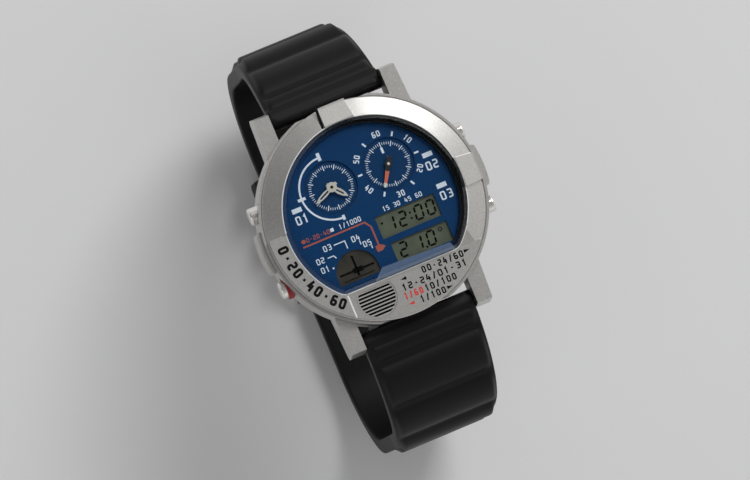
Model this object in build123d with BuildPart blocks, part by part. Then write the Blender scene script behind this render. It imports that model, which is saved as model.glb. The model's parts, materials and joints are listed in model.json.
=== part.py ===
from build123d import *
import os
from math import cos, pi, radians, sin

# Wristwatch with two small hand dials and two digital windows, on a ridged strap that is buckled
# as if worn. Lengths in mm. +Z points out of the dial, +Y to 12 o'clock and +X to 3 o'clock.
# The origin lies on the surface that the buckle stands on, under the middle of the case.

os.makedirs("parts", exist_ok=True)

# Fits and overruns
overrun = 1.0
layer_gap = 0.1
seat_gap = 0.05
running_gap = 0.05
quarter_turn = 90

# Strap and buckle
strap_thickness = 2.2
strap_width = 16.8
strap_end_width = 14.4
strap_taper_low = 27.0
strap_eye_radius = 1.6
strap_tip_radius = 4.0
ridge_pitch = 7.2
ridge_count = 4
ridge_valley_width = 0.7
ridge_height = 0.9
root_ridge_height = 0.65
upper_first_valley = 3.6
lower_first_valley = 3.3
upper_loop_overhang = 9.2
lower_loop_overhang = 13.9
leave_length = 1.0
upper_leave_angle = 38
lower_leave_angle = 12
corner_radius = 12.0
wrist_room = 39.0
tail_reach = 14.0
hole_pitch = 6.0
hole_width = 1.8
hole_length = 2.6
holes_after_tongue = 3
holes_before_tongue = 4
buckle_bar_depth = 1.75
buckle_bar_width = 2.0
buckle_arm_width = 1.3
buckle_arm_gap = 0.25
buckle_boss_radius = 1.2
buckle_reach = 5.2
buckle_notch_depth = 1.0
buckle_pin_reach = 0.5
buckle_pin_radius = 0.5
tongue_width = 1.4
tongue_depth = 0.8
tongue_eye_radius = 1.0
tongue_eye_slot = 2.2
tongue_stem_reach = 2.2
tongue_overhang = 0.5
tongue_floor_gap = 0.1
keeper_width = 3.5
keeper_wall = 1.2
fixed_keeper_reach = 4.4
free_keeper_reach = 10.3
free_keeper_floor_gap = 0.3

# Case: heights are rises above the back cover's outer face
case_radius = 16.25
case_low_rise = 0.3
case_seat_rise = 6.0
case_rim_rise = 6.6
case_rim_width = 0.38
case_foot_chamfer = 0.9
case_wall = 3.15
side_block_proud = 0.65
side_block_half = 3.06
side_block_low_rise = 1.5
side_block_height = 4.3
side_block_round = 0.5
lug_gap = 17.0
lug_root_width = 2.6
lug_tip_width = 2.2
lug_root_depth = 5.3
lug_top_rise = 5.5
lug_top_overhang = 0.75
lug_slope_overhang = 0.95
lug_slope_depth = 1.2
lug_nose_overhang = 1.2
lug_nose_rise = 1.7
lug_toe_overhang = 0.6
lug_toe_rise = 0.35
lug_heel_rise = 0.9
case_end_cut = 0.95
strap_eye_gap = 0.1
bar_rise = 2.6
bar_radius = 0.75
bar_tip_radius = 0.45
bar_tip_length = 0.8
bar_shoulder_gap = 0.2

# Back cover and seals
back_seat_width = 0.8
back_thickness = 0.9
back_rim_width = 0.45
back_rim_height = 0.7
back_round = 0.3
back_gasket_width = 0.5
back_gasket_height = 0.3

# Bezel, window and glass
bezel_rim_gap = 0.07
bezel_cone_step = 0.15
bezel_cone_width = 2.65
bezel_cone_low_rise = 6.95
bezel_cone_top_rise = 8.2
window_chord_share = 0.7423
window_corner_radius = 1.5
ledge_width = 0.6
ledge_top_rise = 6.95
ledge_low_rise = 6.3
glass_gasket_height = 0.15
glass_top_rise = 8.55
glass_bevel = 0.45
tab_inner_width = 4.5
tab_outer_width = 4.0
tab_inset = 0.35
tab_height = 0.4
tab_chamfer = 0.3
tab_groove_width = 0.45
tab_groove_depth = 0.5
plate_left_rise = 7.8
plate_left_top_reach = 1.3
plate_wall_reach = 8.25
plate_low_rise = 7.35
plate_blend = 3.2
reveal_width = 0.3

# Sensor grille in the lower plate
grille_x = -4.6
grille_y = -11.75
grille_radius = 2.85
grille_flat_reach = 1.51
grille_thickness = 0.6
grille_bar_count = 8
grille_pitch = 0.49
grille_slot = 0.3
grille_rim = 0.2
sensor_radius = 1.5
sensor_height = 0.5
sensor_pin_radius = 0.2
sensor_pin_spacing = 1.2
sensor_pin_offset = 0.9

# Push buttons
pusher_y = 5.55
pusher_rise = 3.7
pusher_radius = 1.25
pusher_proud = 1.13
pusher_length = 1.9
pusher_round = 0.35
pusher_bore_gap = 0.05
pusher_stem_radius = 0.5
spring_room = 0.9
pusher_stem_overhang = 0.5
clip_thickness = 0.2
clip_radius = 0.85
seal_height = 0.35
seal_width = 0.3
seal_gap = 0.04
spring_wire = 0.2
spring_radius = 1.05
spring_turns = 2
collar_width = 0.3
collar_sink = 0.47
collar_height = 0.75

# Dial stack
dial_edge_gap = 0.2
dial_low_rise = 5.8
dial_thickness = 0.4
subdial_x = 4.35
subdial_y = 5.0
subdial_radius = 3.75
subdial_thickness = 0.15
upper_window_left = -0.42
upper_window_right = 8.6
upper_window_low = -4.5
upper_window_top = -1.2
lower_window_left = 0.28
lower_window_right = 8.8
lower_window_low = -8.3
lower_window_top = -5.4
arch_x = -5.45
arch_y = -7.3
arch_radius = 3.1
arch_foot = 1.15
lcd_margin = 0.4
lcd_thickness = 0.75

# Hands
minute_hand_length = 3.2
minute_hand_tail = 0.9
minute_hand_width = 0.75
minute_hand_angle = 245
hour_hand_length = 2.58
hour_hand_tail = 0.8
hour_hand_width = 0.85
hour_hand_angle = 139
hand_hub_radius = 0.72
hand_slot_width = 0.22
hand_thickness = 0.12
hour_hand_lift = 0.25
minute_hand_lift = 0.5
function_hand_length = 3.37
function_hand_tail = 1.05
function_hand_root = 0.68
function_hand_tip = 0.35
function_hand_angle = 211
function_hub_radius = 0.55
arbor_radius = 0.23
hour_pipe_radius = 0.45

# Wheels
tooth_module = 0.1
motion_module = 0.11
wheel_thickness = 0.2
pinion_height = 0.3
minute_teeth = 36
reducer_teeth = 30
small_pinion_teeth = 6
cannon_teeth = 10
motion_teeth = 30
motion_pinion_teeth = 8
hour_teeth = 32
staff_radius = 0.15
pivot_radius = 0.1
pivot_length = 0.25
magnet_radius = 0.8
magnet_height = 0.6
magnet_rise = 2.65
rotor_pinion_rise = 3.55
minute_wheel_rise = 3.9
cannon_rise = 4.35
hour_wheel_rise = 4.75

# Module
board_edge_gap = 0.8
board_low_rise = 1.8
board_thickness = 0.4
frame_edge_gap = 0.3
frame_roof = 0.6
bay_left = 9.6
bay_right = 0.9
bay_low = -0.8
bay_top = 7.4
battery_radius = 4.75
battery_thickness = 2.7
battery_x = 3.3
battery_y = -6.7
battery_lip = 0.4
battery_step = 0.3
battery_gap = 0.12
clamp_width = 2.2
clamp_length = 12.2
clamp_thickness = 0.2
clamp_angle = 135
clamp_shift = 0.35
zebra_y = -1.45
zebra_width = 0.5
zebra_length = 8.0
zebra_x = 4.2
quartz_radius = 1.0
quartz_length = 6.0
quartz_x = -6.0
quartz_y = -3.2
chip_size = 4.0
chip_height = 0.9
chip_x = -5.6
chip_y = -7.2
pocket_height = 2.3
lamp_radius = 0.35
lamp_length = 2.4
lamp_x = 9.75
lamp_y = -4.8
coil_radius = 0.9
coil_length = 6.4
coil_x = 5.25
coil_y = 0.22
coil_rise = 3.4
core_width = 1.1
core_thickness = 0.5
core_overhang = 0.85
stator_thickness = 0.4
stator_top = 4.0
stator_window = 1.35
stator_hole_gap = 0.2
buzzer_radius = 5.5
buzzer_thickness = 0.2
buzzer_y = 3.0
buzzer_spring_radius = 0.7
notch_depth = 2.0
notch_half = 1.3

# Radii and reaches worked out from the case
case_rim_inner_radius = case_radius - case_rim_width
cavity_radius = case_radius - case_wall
side_block_radius = case_radius + side_block_proud
between_lugs_reach = case_radius - case_end_cut
bar_reach = between_lugs_reach + strap_eye_gap + strap_eye_radius
upper_side_reach = bar_reach + upper_loop_overhang
lower_side_reach = bar_reach + lower_loop_overhang
lug_start = between_lugs_reach - lug_root_depth
lug_top_reach = bar_reach + lug_top_overhang
lug_slope_reach = bar_reach + lug_slope_overhang
lug_nose_reach = bar_reach + lug_nose_overhang
lug_toe_reach = bar_reach + lug_toe_overhang
back_radius = cavity_radius + back_seat_width
bezel_radius = case_rim_inner_radius - bezel_rim_gap
bezel_cone_radius = bezel_radius - bezel_cone_step
window_radius = bezel_cone_radius - bezel_cone_width
window_chord = window_radius * window_chord_share
dial_radius = cavity_radius - dial_edge_gap
board_radius = cavity_radius - board_edge_gap
frame_radius = cavity_radius - frame_edge_gap
case_face_at_pusher = (case_radius**2 - pusher_y**2)**0.5
pusher_tip_reach = case_face_at_pusher + pusher_proud
pusher_pocket_floor = pusher_tip_reach - pusher_length - spring_room
collar_seat_reach = case_face_at_pusher - collar_sink
cavity_radius_at_pusher = (cavity_radius**2 - (pusher_y + clip_radius)**2)**0.5
pusher_stem_end = cavity_radius_at_pusher - pusher_stem_overhang

# Heights of the loop, from the surface up
tail_low = buckle_bar_depth + layer_gap
tail_mid = tail_low + strap_thickness / 2
inner_low = tail_low + strap_thickness + layer_gap
inner_mid = inner_low + strap_thickness / 2
loop_floor = inner_low + strap_thickness
back_z = loop_floor + wrist_room

# Levels worked out from the rises
case_low = back_z + case_low_rise
case_seat = back_z + case_seat_rise
case_rim = back_z + case_rim_rise
bar_z = back_z + bar_rise
back_inner = back_z + back_thickness
pusher_z = back_z + pusher_rise
ledge_low = back_z + ledge_low_rise
ledge_top = back_z + ledge_top_rise
glass_low = ledge_top + glass_gasket_height
glass_top = back_z + glass_top_rise
dial_low = back_z + dial_low_rise
dial_top = dial_low + dial_thickness
lcd_low = dial_low - lcd_thickness
board_low = back_z + board_low_rise
board_top = board_low + board_thickness
frame_top = dial_low
roof_low = frame_top - frame_roof
cone_low = back_z + bezel_cone_low_rise
cone_top = back_z + bezel_cone_top_rise
plate_low = back_z + plate_low_rise
plate_left = back_z + plate_left_rise
grille_low = plate_low - grille_thickness
sensor_low = grille_low - sensor_height - layer_gap
sensor_pin_places = [(grille_x + side * sensor_pin_spacing / 2, grille_y + sensor_pin_offset)
                     for side in (-1, 1)]
pocket_radius = pusher_radius + pusher_bore_gap
far = 2 * case_radius


# Helpers for outlines that repeat

def window_outline(inset):
    """Round window with a straight lower edge, drawn smaller by the inset."""
    Circle(window_radius - inset)
    with Locations((0, window_radius + inset - window_chord)):
        Rectangle(2 * window_radius, 2 * window_radius, mode=Mode.INTERSECT)
    corner = vertices().group_by(Axis.Y)[0].sort_by(Axis.X)[-1]
    fillet(corner, window_corner_radius - inset)


def span_rectangle(left, right, low, top, grow, mode=Mode.ADD):
    """Rectangle between four edges, grown by the same margin on each side."""
    with Locations(((left + right) / 2, (low + top) / 2)):
        Rectangle(right - left + 2 * grow, top - low + 2 * grow, mode=mode)


def arch_outline(grow, mode=Mode.ADD):
    """Half-round window on a short straight foot."""
    with BuildLine(mode=Mode.PRIVATE) as edge:
        left = arch_x - arch_radius - grow
        right = arch_x + arch_radius + grow
        foot = arch_y - arch_foot - grow
        ThreePointArc((left, arch_y), (arch_x, arch_y + arch_radius + grow), (right, arch_y))
        Polyline((right, arch_y), (right, foot), (left, foot), (left, arch_y))
    make_face(edge.edges(), mode=mode)


def gear_outline(teeth, module, phase):
    """Wheel outline with one flat-topped tooth for each count."""
    tip = module * (teeth / 2 + tip_share)
    root = module * (teeth / 2 - root_share)
    points = []
    for tooth in range(teeth):
        middle = 2 * pi * tooth / teeth + phase
        for radius, turn_share in ((root, -root_turn_share), (tip, -tip_turn_share),
                                   (tip, tip_turn_share), (root, root_turn_share)):
            angle = middle + turn_share * 2 * pi / teeth
            points.append((radius * cos(angle), radius * sin(angle)))
    with BuildLine(mode=Mode.PRIVATE) as edge:
        Polyline(*points, close=True)
    make_face(edge.edges())


# Tooth height above and below the pitch circle in modules, and tooth width in pitches
tip_share = 0.85
root_share = 1.05
tip_turn_share = 0.11
root_turn_share = 0.25


def pitch_radius(teeth, module):
    """Pitch radius of a wheel."""
    return teeth * module / 2


def ring_outline(inner, outer):
    """Flat ring."""
    Circle(outer)
    Circle(inner, mode=Mode.SUBTRACT)


# Strap loop. Its middle line is drawn with Y to the right and Z up, from the spring bar outwards,
# over the shoulder, down the side, round the corner and along the bottom.

def loop_line(side_reach, leave_angle, floor_z, foot_end):
    """Middle line of one strap half and the lengths at which its straights and bends meet."""
    shoulder_run = side_reach - bar_reach - leave_length * cos(radians(leave_angle))
    shoulder_radius = shoulder_run / (1 - sin(radians(leave_angle)))
    with BuildLine() as line:
        leave = PolarLine((bar_reach, bar_z), leave_length, -leave_angle)
        shoulder = JernArc(leave @ 1, leave % 1, shoulder_radius, leave_angle - quarter_turn)
        side = Line(shoulder @ 1, (side_reach, floor_z + corner_radius))
        corner = JernArc(side @ 1, side % 1, corner_radius, -quarter_turn)
        foot = Line(corner @ 1, (foot_end, floor_z))
    breaks = [0]
    for piece in (leave, shoulder, side, corner, foot):
        breaks.append(breaks[-1] + piece.length)
    return line.wires()[0], breaks


def beside(line, distance, lift):
    """Point at a distance along the middle line, lifted outwards from it."""
    point = line.position_at(distance, position_mode=PositionMode.LENGTH)
    tangent = line.tangent_at(distance, position_mode=PositionMode.LENGTH)
    return point + tangent.rotate(Axis.Z, quarter_turn) * lift


def follow(line, breaks, start, lift):
    """Draw straights and bends beside the middle line, from a start distance to its end."""
    for index, (low, high) in enumerate(zip(breaks, breaks[1:])):
        begin = max(low, start)
        if begin >= high:
            continue
        ends = (beside(line, begin, lift), beside(line, high, lift))
        if index % 2:
            ThreePointArc(ends[0], beside(line, (begin + high) / 2, lift), ends[1])
        else:
            Line(*ends)


def strap_side_outline(line, breaks, first_valley):
    """Side outline of a strap half: smooth inside, ridged outside next to the case."""
    half = strap_thickness / 2
    valley = ridge_valley_width / 2
    with BuildLine(mode=Mode.PRIVATE) as edge:
        follow(line, breaks, 0, -half)
        fall = beside(line, first_valley - valley, half)
        root_crest = beside(line, (first_valley - valley) / 2, half + root_ridge_height)
        ThreePointArc(beside(line, 0, half), root_crest, fall)
        for ridge in range(ridge_count):
            start = first_valley + ridge * ridge_pitch
            rise = beside(line, start + valley, half)
            crest = beside(line, start + ridge_pitch / 2, half + ridge_height)
            Line(fall, rise)
            fall = beside(line, start + ridge_pitch - valley, half)
            ThreePointArc(rise, crest, fall)
        ridges_end = first_valley + ridge_count * ridge_pitch - valley
        follow(line, breaks, ridges_end, half)
        Line(beside(line, 0, -half), beside(line, 0, half))
        Line(beside(line, breaks[-1], -half), beside(line, breaks[-1], half))
    make_face(edge.edges())


def strap_front_outline():
    """Front outline of the strap, which narrows evenly beside the case and then stays even."""
    top = strap_width / 2
    low = strap_end_width / 2
    with BuildLine(mode=Mode.PRIVATE) as edge:
        Polyline((-top, bar_z), (-low, strap_taper_low), (-low, 0), (low, 0), (low, strap_taper_low),
                 (top, bar_z), (top, case_rim), (-top, case_rim), (-top, bar_z))
    make_face(edge.edges())


upper_line, upper_breaks = loop_line(upper_side_reach, upper_leave_angle, inner_mid,
                                     -buckle_pin_reach)
lower_line, lower_breaks = loop_line(lower_side_reach, lower_leave_angle, tail_mid, -tail_reach)
strap_sketch_plane = Plane.YZ.offset(-strap_width / 2)

with BuildPart() as upper_strap:
    with BuildSketch(strap_sketch_plane):
        strap_side_outline(upper_line, upper_breaks, upper_first_valley)
        with Locations((bar_reach, bar_z)):
            Circle(strap_eye_radius)
        with Locations((-buckle_pin_reach, inner_mid)):
            Circle(strap_thickness / 2)
        with Locations((bar_reach, bar_z)):
            Circle(bar_radius + seat_gap, mode=Mode.SUBTRACT)
        with Locations((-buckle_pin_reach, inner_mid)):
            Circle(buckle_pin_radius + seat_gap, mode=Mode.SUBTRACT)
    extrude(amount=strap_width)
    with BuildSketch(Plane.XZ):
        strap_front_outline()
    extrude(amount=2 * far, both=True, mode=Mode.INTERSECT)
    with BuildSketch(Plane.XY.offset(inner_low - layer_gap)):
        with Locations((0, -buckle_pin_reach)):
            Rectangle(tongue_eye_slot, 2 * (tongue_eye_radius + 2 * buckle_arm_gap))
    extrude(amount=strap_thickness + 2 * layer_gap, mode=Mode.SUBTRACT)
upper_strap.part.label = "upper_strap"
export_step(upper_strap.part, "parts/upper_strap.step")

# The lower half is drawn on the +Y side as well, with its holes, and mirrored when it is whole.
tongue_hole_distance = lower_breaks[4] + (lower_side_reach - corner_radius
                                          - buckle_pin_reach - tongue_stem_reach)

with BuildPart() as lower_strap:
    with BuildSketch(strap_sketch_plane):
        strap_side_outline(lower_line, lower_breaks, lower_first_valley)
        with Locations((bar_reach, bar_z)):
            Circle(strap_eye_radius)
        with Locations((bar_reach, bar_z)):
            Circle(bar_radius + seat_gap, mode=Mode.SUBTRACT)
    extrude(amount=strap_width)
    with BuildSketch(Plane.XZ):
        strap_front_outline()
    extrude(amount=2 * far, both=True, mode=Mode.INTERSECT)
    tip_edges = lower_strap.edges().filter_by(Axis.Z).group_by(Axis.Y)[0]
    fillet(tip_edges, strap_tip_radius)
    for hole in range(-holes_before_tongue, holes_after_tongue + 1):
        distance = tongue_hole_distance + hole * hole_pitch
        spot = beside(lower_line, distance, 0)
        outward = beside(lower_line, distance, overrun) - spot
        with BuildSketch(Plane((0, spot.X, spot.Y), (1, 0, 0), (0, outward.X, outward.Y))):
            SlotOverall(hole_length, hole_width, rotation=quarter_turn)
        extrude(amount=strap_thickness, both=True, mode=Mode.SUBTRACT)
    mirror(about=Plane.XZ, mode=Mode.REPLACE)
lower_strap.part.label = "lower_strap"
export_step(lower_strap.part, "parts/lower_strap.step")

# Spring bars in the lugs, one at each end of the case
with BuildPart() as spring_bars:
    with BuildSketch(Plane.YZ):
        with Locations((bar_reach, bar_z), (-bar_reach, bar_z)):
            Circle(bar_radius)
    extrude(amount=lug_gap / 2 - bar_shoulder_gap, both=True)
    with BuildSketch(Plane.YZ):
        with Locations((bar_reach, bar_z), (-bar_reach, bar_z)):
            Circle(bar_tip_radius)
    extrude(amount=lug_gap / 2 + bar_tip_length, both=True)
spring_bars.part.label = "spring_bars"
export_step(spring_bars.part, "parts/spring_bars.step")

# Buckle: a frame whose arms reach from its bar to the pin at the upper strap's end
pin_y = -buckle_pin_reach
buckle_bar_y = pin_y - buckle_reach
arm_inner = strap_end_width / 2 + buckle_arm_gap
arm_outer = arm_inner + buckle_arm_width

with BuildPart() as buckle_frame:
    bar_back = buckle_bar_y - buckle_bar_width / 2
    bar_front = buckle_bar_y + buckle_bar_width / 2
    with BuildSketch(Plane.YZ):
        with BuildLine():
            Polyline((bar_back, 0), (bar_front, 0), (pin_y + buckle_boss_radius, inner_mid),
                     (pin_y, inner_mid + buckle_boss_radius), (bar_back, buckle_bar_depth),
                     (bar_back, 0))
        make_face()
        with Locations((pin_y, inner_mid)):
            Circle(buckle_boss_radius)
            Circle(buckle_pin_radius, mode=Mode.SUBTRACT)
    extrude(amount=arm_outer, both=True)
    with BuildSketch(Plane.YZ):
        span_rectangle(bar_back - overrun, pin_y + 2 * buckle_boss_radius, buckle_bar_depth,
                       loop_floor + buckle_boss_radius, 0)
        span_rectangle(bar_front, pin_y + 2 * buckle_boss_radius, -overrun,
                       buckle_bar_depth + overrun, 0)
    extrude(amount=arm_inner, both=True, mode=Mode.SUBTRACT)
    with BuildSketch(Plane.XY):
        with Locations((0, buckle_bar_y)):
            Rectangle(tongue_width + 2 * running_gap, buckle_bar_width + overrun)
    extrude(amount=buckle_notch_depth, mode=Mode.SUBTRACT)
buckle_frame.part.label = "buckle_frame"
export_step(buckle_frame.part, "parts/buckle_frame.step")

with BuildPart() as buckle_pin:
    with BuildSketch(Plane.YZ):
        with Locations((pin_y, inner_mid)):
            Circle(buckle_pin_radius)
    extrude(amount=arm_outer, both=True)
buckle_pin.part.label = "buckle_pin"
export_step(buckle_pin.part, "parts/buckle_pin.step")

with BuildPart() as buckle_tongue:
    stem_y = pin_y - tongue_stem_reach
    tongue_top = tongue_floor_gap + tongue_depth
    with BuildSketch(Plane.YZ):
        with Locations((pin_y, inner_mid)):
            Circle(tongue_eye_radius)
        with BuildLine():
            Polyline((pin_y, inner_mid + tongue_eye_radius), (pin_y, inner_mid - tongue_eye_radius),
                     (stem_y + tongue_depth / 2, inner_low),
                     (stem_y + tongue_depth / 2, tongue_floor_gap),
                     (bar_back - tongue_overhang, tongue_floor_gap),
                     (bar_back - tongue_overhang, tongue_top),
                     (stem_y - tongue_depth / 2, tongue_top),
                     (stem_y - tongue_depth / 2, inner_mid), (pin_y, inner_mid + tongue_eye_radius))
        make_face()
        with Locations((pin_y, inner_mid)):
            Circle(buckle_pin_radius + running_gap, mode=Mode.SUBTRACT)
    extrude(amount=tongue_width / 2, both=True)
buckle_tongue.part.label = "buckle_tongue"
export_step(buckle_tongue.part, "parts/buckle_tongue.step")

# Keepers: closed bands round both strap layers
for keeper_name, keeper_y, keeper_floor in (("fixed_keeper", fixed_keeper_reach, 0),
                                            ("free_keeper", free_keeper_reach, free_keeper_floor_gap)):
    with BuildPart() as keeper:
        with BuildSketch(Plane.XZ.offset(-keeper_y - keeper_width / 2)):
            keeper_low = tail_low - layer_gap
            keeper_top = loop_floor + layer_gap
            keeper_half = strap_end_width / 2 + layer_gap
            span_rectangle(-keeper_half - keeper_wall, keeper_half + keeper_wall, keeper_floor,
                           keeper_top + keeper_wall, 0)
            fillet(vertices(), keeper_wall)
            span_rectangle(-keeper_half, keeper_half, keeper_low, keeper_top, 0, mode=Mode.SUBTRACT)
        extrude(amount=keeper_width)
    keeper.part.label = keeper_name
    export_step(keeper.part, f"parts/{keeper_name}.step")

# Case: a drum with side blocks at 3 and 9 o'clock and a pair of lugs at each end
with BuildPart() as lug:
    with BuildSketch(Plane.YZ.offset(lug_gap / 2)):
        with BuildLine():
            Polyline((lug_start, back_z + lug_top_rise), (lug_top_reach, back_z + lug_top_rise),
                     (lug_slope_reach, back_z + lug_top_rise - lug_slope_depth),
                     (lug_nose_reach, back_z + lug_nose_rise))
            ThreePointArc((lug_nose_reach, back_z + lug_nose_rise),
                          ((lug_nose_reach + lug_toe_reach) / 2 + lug_toe_rise,
                           back_z + (lug_nose_rise + lug_toe_rise) / 2),
                          (lug_toe_reach, back_z + lug_toe_rise))
            Polyline((lug_toe_reach, back_z + lug_toe_rise), (lug_start, back_z + lug_heel_rise),
                     (lug_start, back_z + lug_top_rise))
        make_face()
    extrude(amount=lug_root_width)
    with BuildSketch(Plane.XY.offset(back_z)):
        with BuildLine():
            inner_x = lug_gap / 2
            Polyline((inner_x, lug_start), (inner_x + lug_root_width, lug_start),
                     (inner_x + lug_tip_width, lug_nose_reach), (inner_x, lug_nose_reach),
                     (inner_x, lug_start))
        make_face()
    extrude(amount=case_rim - back_z, mode=Mode.INTERSECT)

with BuildPart() as mid_case:
    with BuildSketch(Plane.XY.offset(case_low)):
        Circle(case_radius)
    extrude(amount=case_rim - case_low)
    chamfer(mid_case.edges().group_by(Axis.Z)[0], case_foot_chamfer)
    with BuildSketch(Plane.XY.offset(back_z + side_block_low_rise)) as side_block:
        Circle(side_block_radius)
        Rectangle(2 * side_block_radius, 2 * side_block_half, mode=Mode.INTERSECT)
        fillet(side_block.vertices(), side_block_round)
    extrude(amount=side_block_height)
    add(lug.part)
    add(lug.part.mirror(Plane.YZ))
    add(lug.part.mirror(Plane.XZ))
    add(lug.part.mirror(Plane.YZ).mirror(Plane.XZ))
    with BuildSketch(Plane.XY.offset(back_z)):
        for end in (-1, 1):
            with Locations((0, end * (between_lugs_reach + case_radius / 2))):
                Rectangle(lug_gap, case_radius)
    extrude(amount=case_rim - back_z, mode=Mode.SUBTRACT)
    with BuildSketch(Plane.XY.offset(case_seat)):
        Circle(case_rim_inner_radius)
    extrude(amount=case_rim - case_seat, mode=Mode.SUBTRACT)
    with BuildSketch(Plane.XY.offset(back_z)):
        Circle(cavity_radius)
    extrude(amount=case_rim - back_z, mode=Mode.SUBTRACT)
    with BuildSketch(Plane.XY.offset(back_z)):
        Circle(back_radius + seat_gap)
    extrude(amount=back_thickness + back_gasket_height, mode=Mode.SUBTRACT)
    # Blind holes for the spring bars' tips
    for side in (-1, 1):
        with BuildSketch(Plane.YZ.offset(side * lug_gap / 2)):
            with Locations((bar_reach, bar_z), (-bar_reach, bar_z)):
                Circle(bar_tip_radius + seat_gap)
        extrude(amount=side * (bar_tip_length + seat_gap), mode=Mode.SUBTRACT)
    # Bore and pocket of each push button
    for side in (-1, 1):
        with BuildSketch(Plane.YZ):
            with Locations((pusher_y, pusher_z), (-pusher_y, pusher_z)):
                Circle(pusher_stem_radius + running_gap)
        extrude(amount=side * case_radius, mode=Mode.SUBTRACT)
        with BuildSketch(Plane.YZ.offset(side * pusher_pocket_floor)):
            with Locations((pusher_y, pusher_z), (-pusher_y, pusher_z)):
                Circle(pocket_radius)
        extrude(amount=side * case_radius, mode=Mode.SUBTRACT)
    # Flat seat of the coloured collar round the lower left button
    with BuildSketch(Plane.YZ.offset(-collar_seat_reach)):
        with Locations((-pusher_y, pusher_z)):
            Circle(pocket_radius + collar_width + seat_gap)
    extrude(amount=-case_radius, mode=Mode.SUBTRACT)
    # Well below the sensor, and its pins' passage
    with BuildSketch(Plane.XY.offset(sensor_low)):
        with Locations((grille_x, grille_y)):
            Circle(sensor_radius + layer_gap)
    extrude(amount=case_rim - sensor_low, mode=Mode.SUBTRACT)
mid_case.part.label = "mid_case"
export_step(mid_case.part, "parts/mid_case.step")

# Back cover, snapped into the case over its gasket
with BuildPart() as back_cover:
    with BuildSketch(Plane.XY.offset(back_z)):
        Circle(back_radius)
    extrude(amount=back_thickness)
    fillet(back_cover.edges().group_by(Axis.Z)[0], back_round)
    with BuildSketch(Plane.XY.offset(back_inner)):
        ring_outline(cavity_radius - seat_gap - back_rim_width, cavity_radius - seat_gap)
    extrude(amount=back_rim_height)
back_cover.part.label = "back_cover"
export_step(back_cover.part, "parts/back_cover.step")

with BuildPart() as back_gasket:
    with BuildSketch(Plane.XY.offset(back_inner)):
        ring_outline(cavity_radius + seat_gap, cavity_radius + seat_gap + back_gasket_width)
    extrude(amount=back_gasket_height)
back_gasket.part.label = "back_gasket"
export_step(back_gasket.part, "parts/back_gasket.step")

# Bezel: a cone with a D-shaped window, raised tabs at 12 and 3 o'clock, a raised plate at the
# lower left and a lower plate from there to the right
tab_slope = (cone_top - cone_low) / (bezel_cone_radius - window_radius)
tab_root = window_radius - overrun
tab_reach = case_radius - tab_inset
tab_edge = tab_reach - tab_chamfer
tab_edge_top = cone_top + tab_height - tab_slope * (tab_edge - window_radius)
with BuildPart() as tab:
    with BuildSketch(Plane.YZ):
        with BuildLine():
            Polyline((tab_root, case_rim), (tab_root, cone_top + tab_height),
                     (window_radius, cone_top + tab_height), (tab_edge, tab_edge_top),
                     (tab_reach, tab_edge_top - tab_chamfer), (tab_reach, case_rim),
                     (tab_root, case_rim))
        make_face()
    extrude(amount=tab_inner_width / 2, both=True)
    with BuildSketch(Plane.XY.offset(case_rim)):
        with BuildLine():
            Polyline((-tab_inner_width / 2, tab_root), (tab_inner_width / 2, tab_root),
                     (tab_outer_width / 2, tab_reach), (-tab_outer_width / 2, tab_reach),
                     (-tab_inner_width / 2, tab_root))
        make_face()
    extrude(amount=glass_top - case_rim, mode=Mode.INTERSECT)

# Groove beside a tab, which follows the cone's slope
with BuildPart() as tab_groove:
    with BuildSketch(Plane.YZ):
        with BuildLine():
            groove_low = cone_top - tab_groove_depth
            Polyline((tab_root, groove_low), (window_radius, groove_low),
                     (case_radius, groove_low - tab_slope * (case_radius - window_radius)),
                     (case_radius, glass_top), (tab_root, glass_top), (tab_root, groove_low))
        make_face()
    extrude(amount=tab_inner_width, both=True)
    with BuildSketch(Plane.XY.offset(case_seat)):
        with BuildLine():
            groove_inner_x = -tab_inner_width / 2
            groove_outer_x = -tab_outer_width / 2
            Polyline((groove_inner_x, tab_root), (groove_inner_x - tab_groove_width, tab_root),
                     (groove_outer_x - tab_groove_width, case_radius), (groove_outer_x, case_radius),
                     (groove_inner_x, tab_root))
        make_face()
    extrude(amount=glass_top - case_seat, mode=Mode.INTERSECT)

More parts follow.
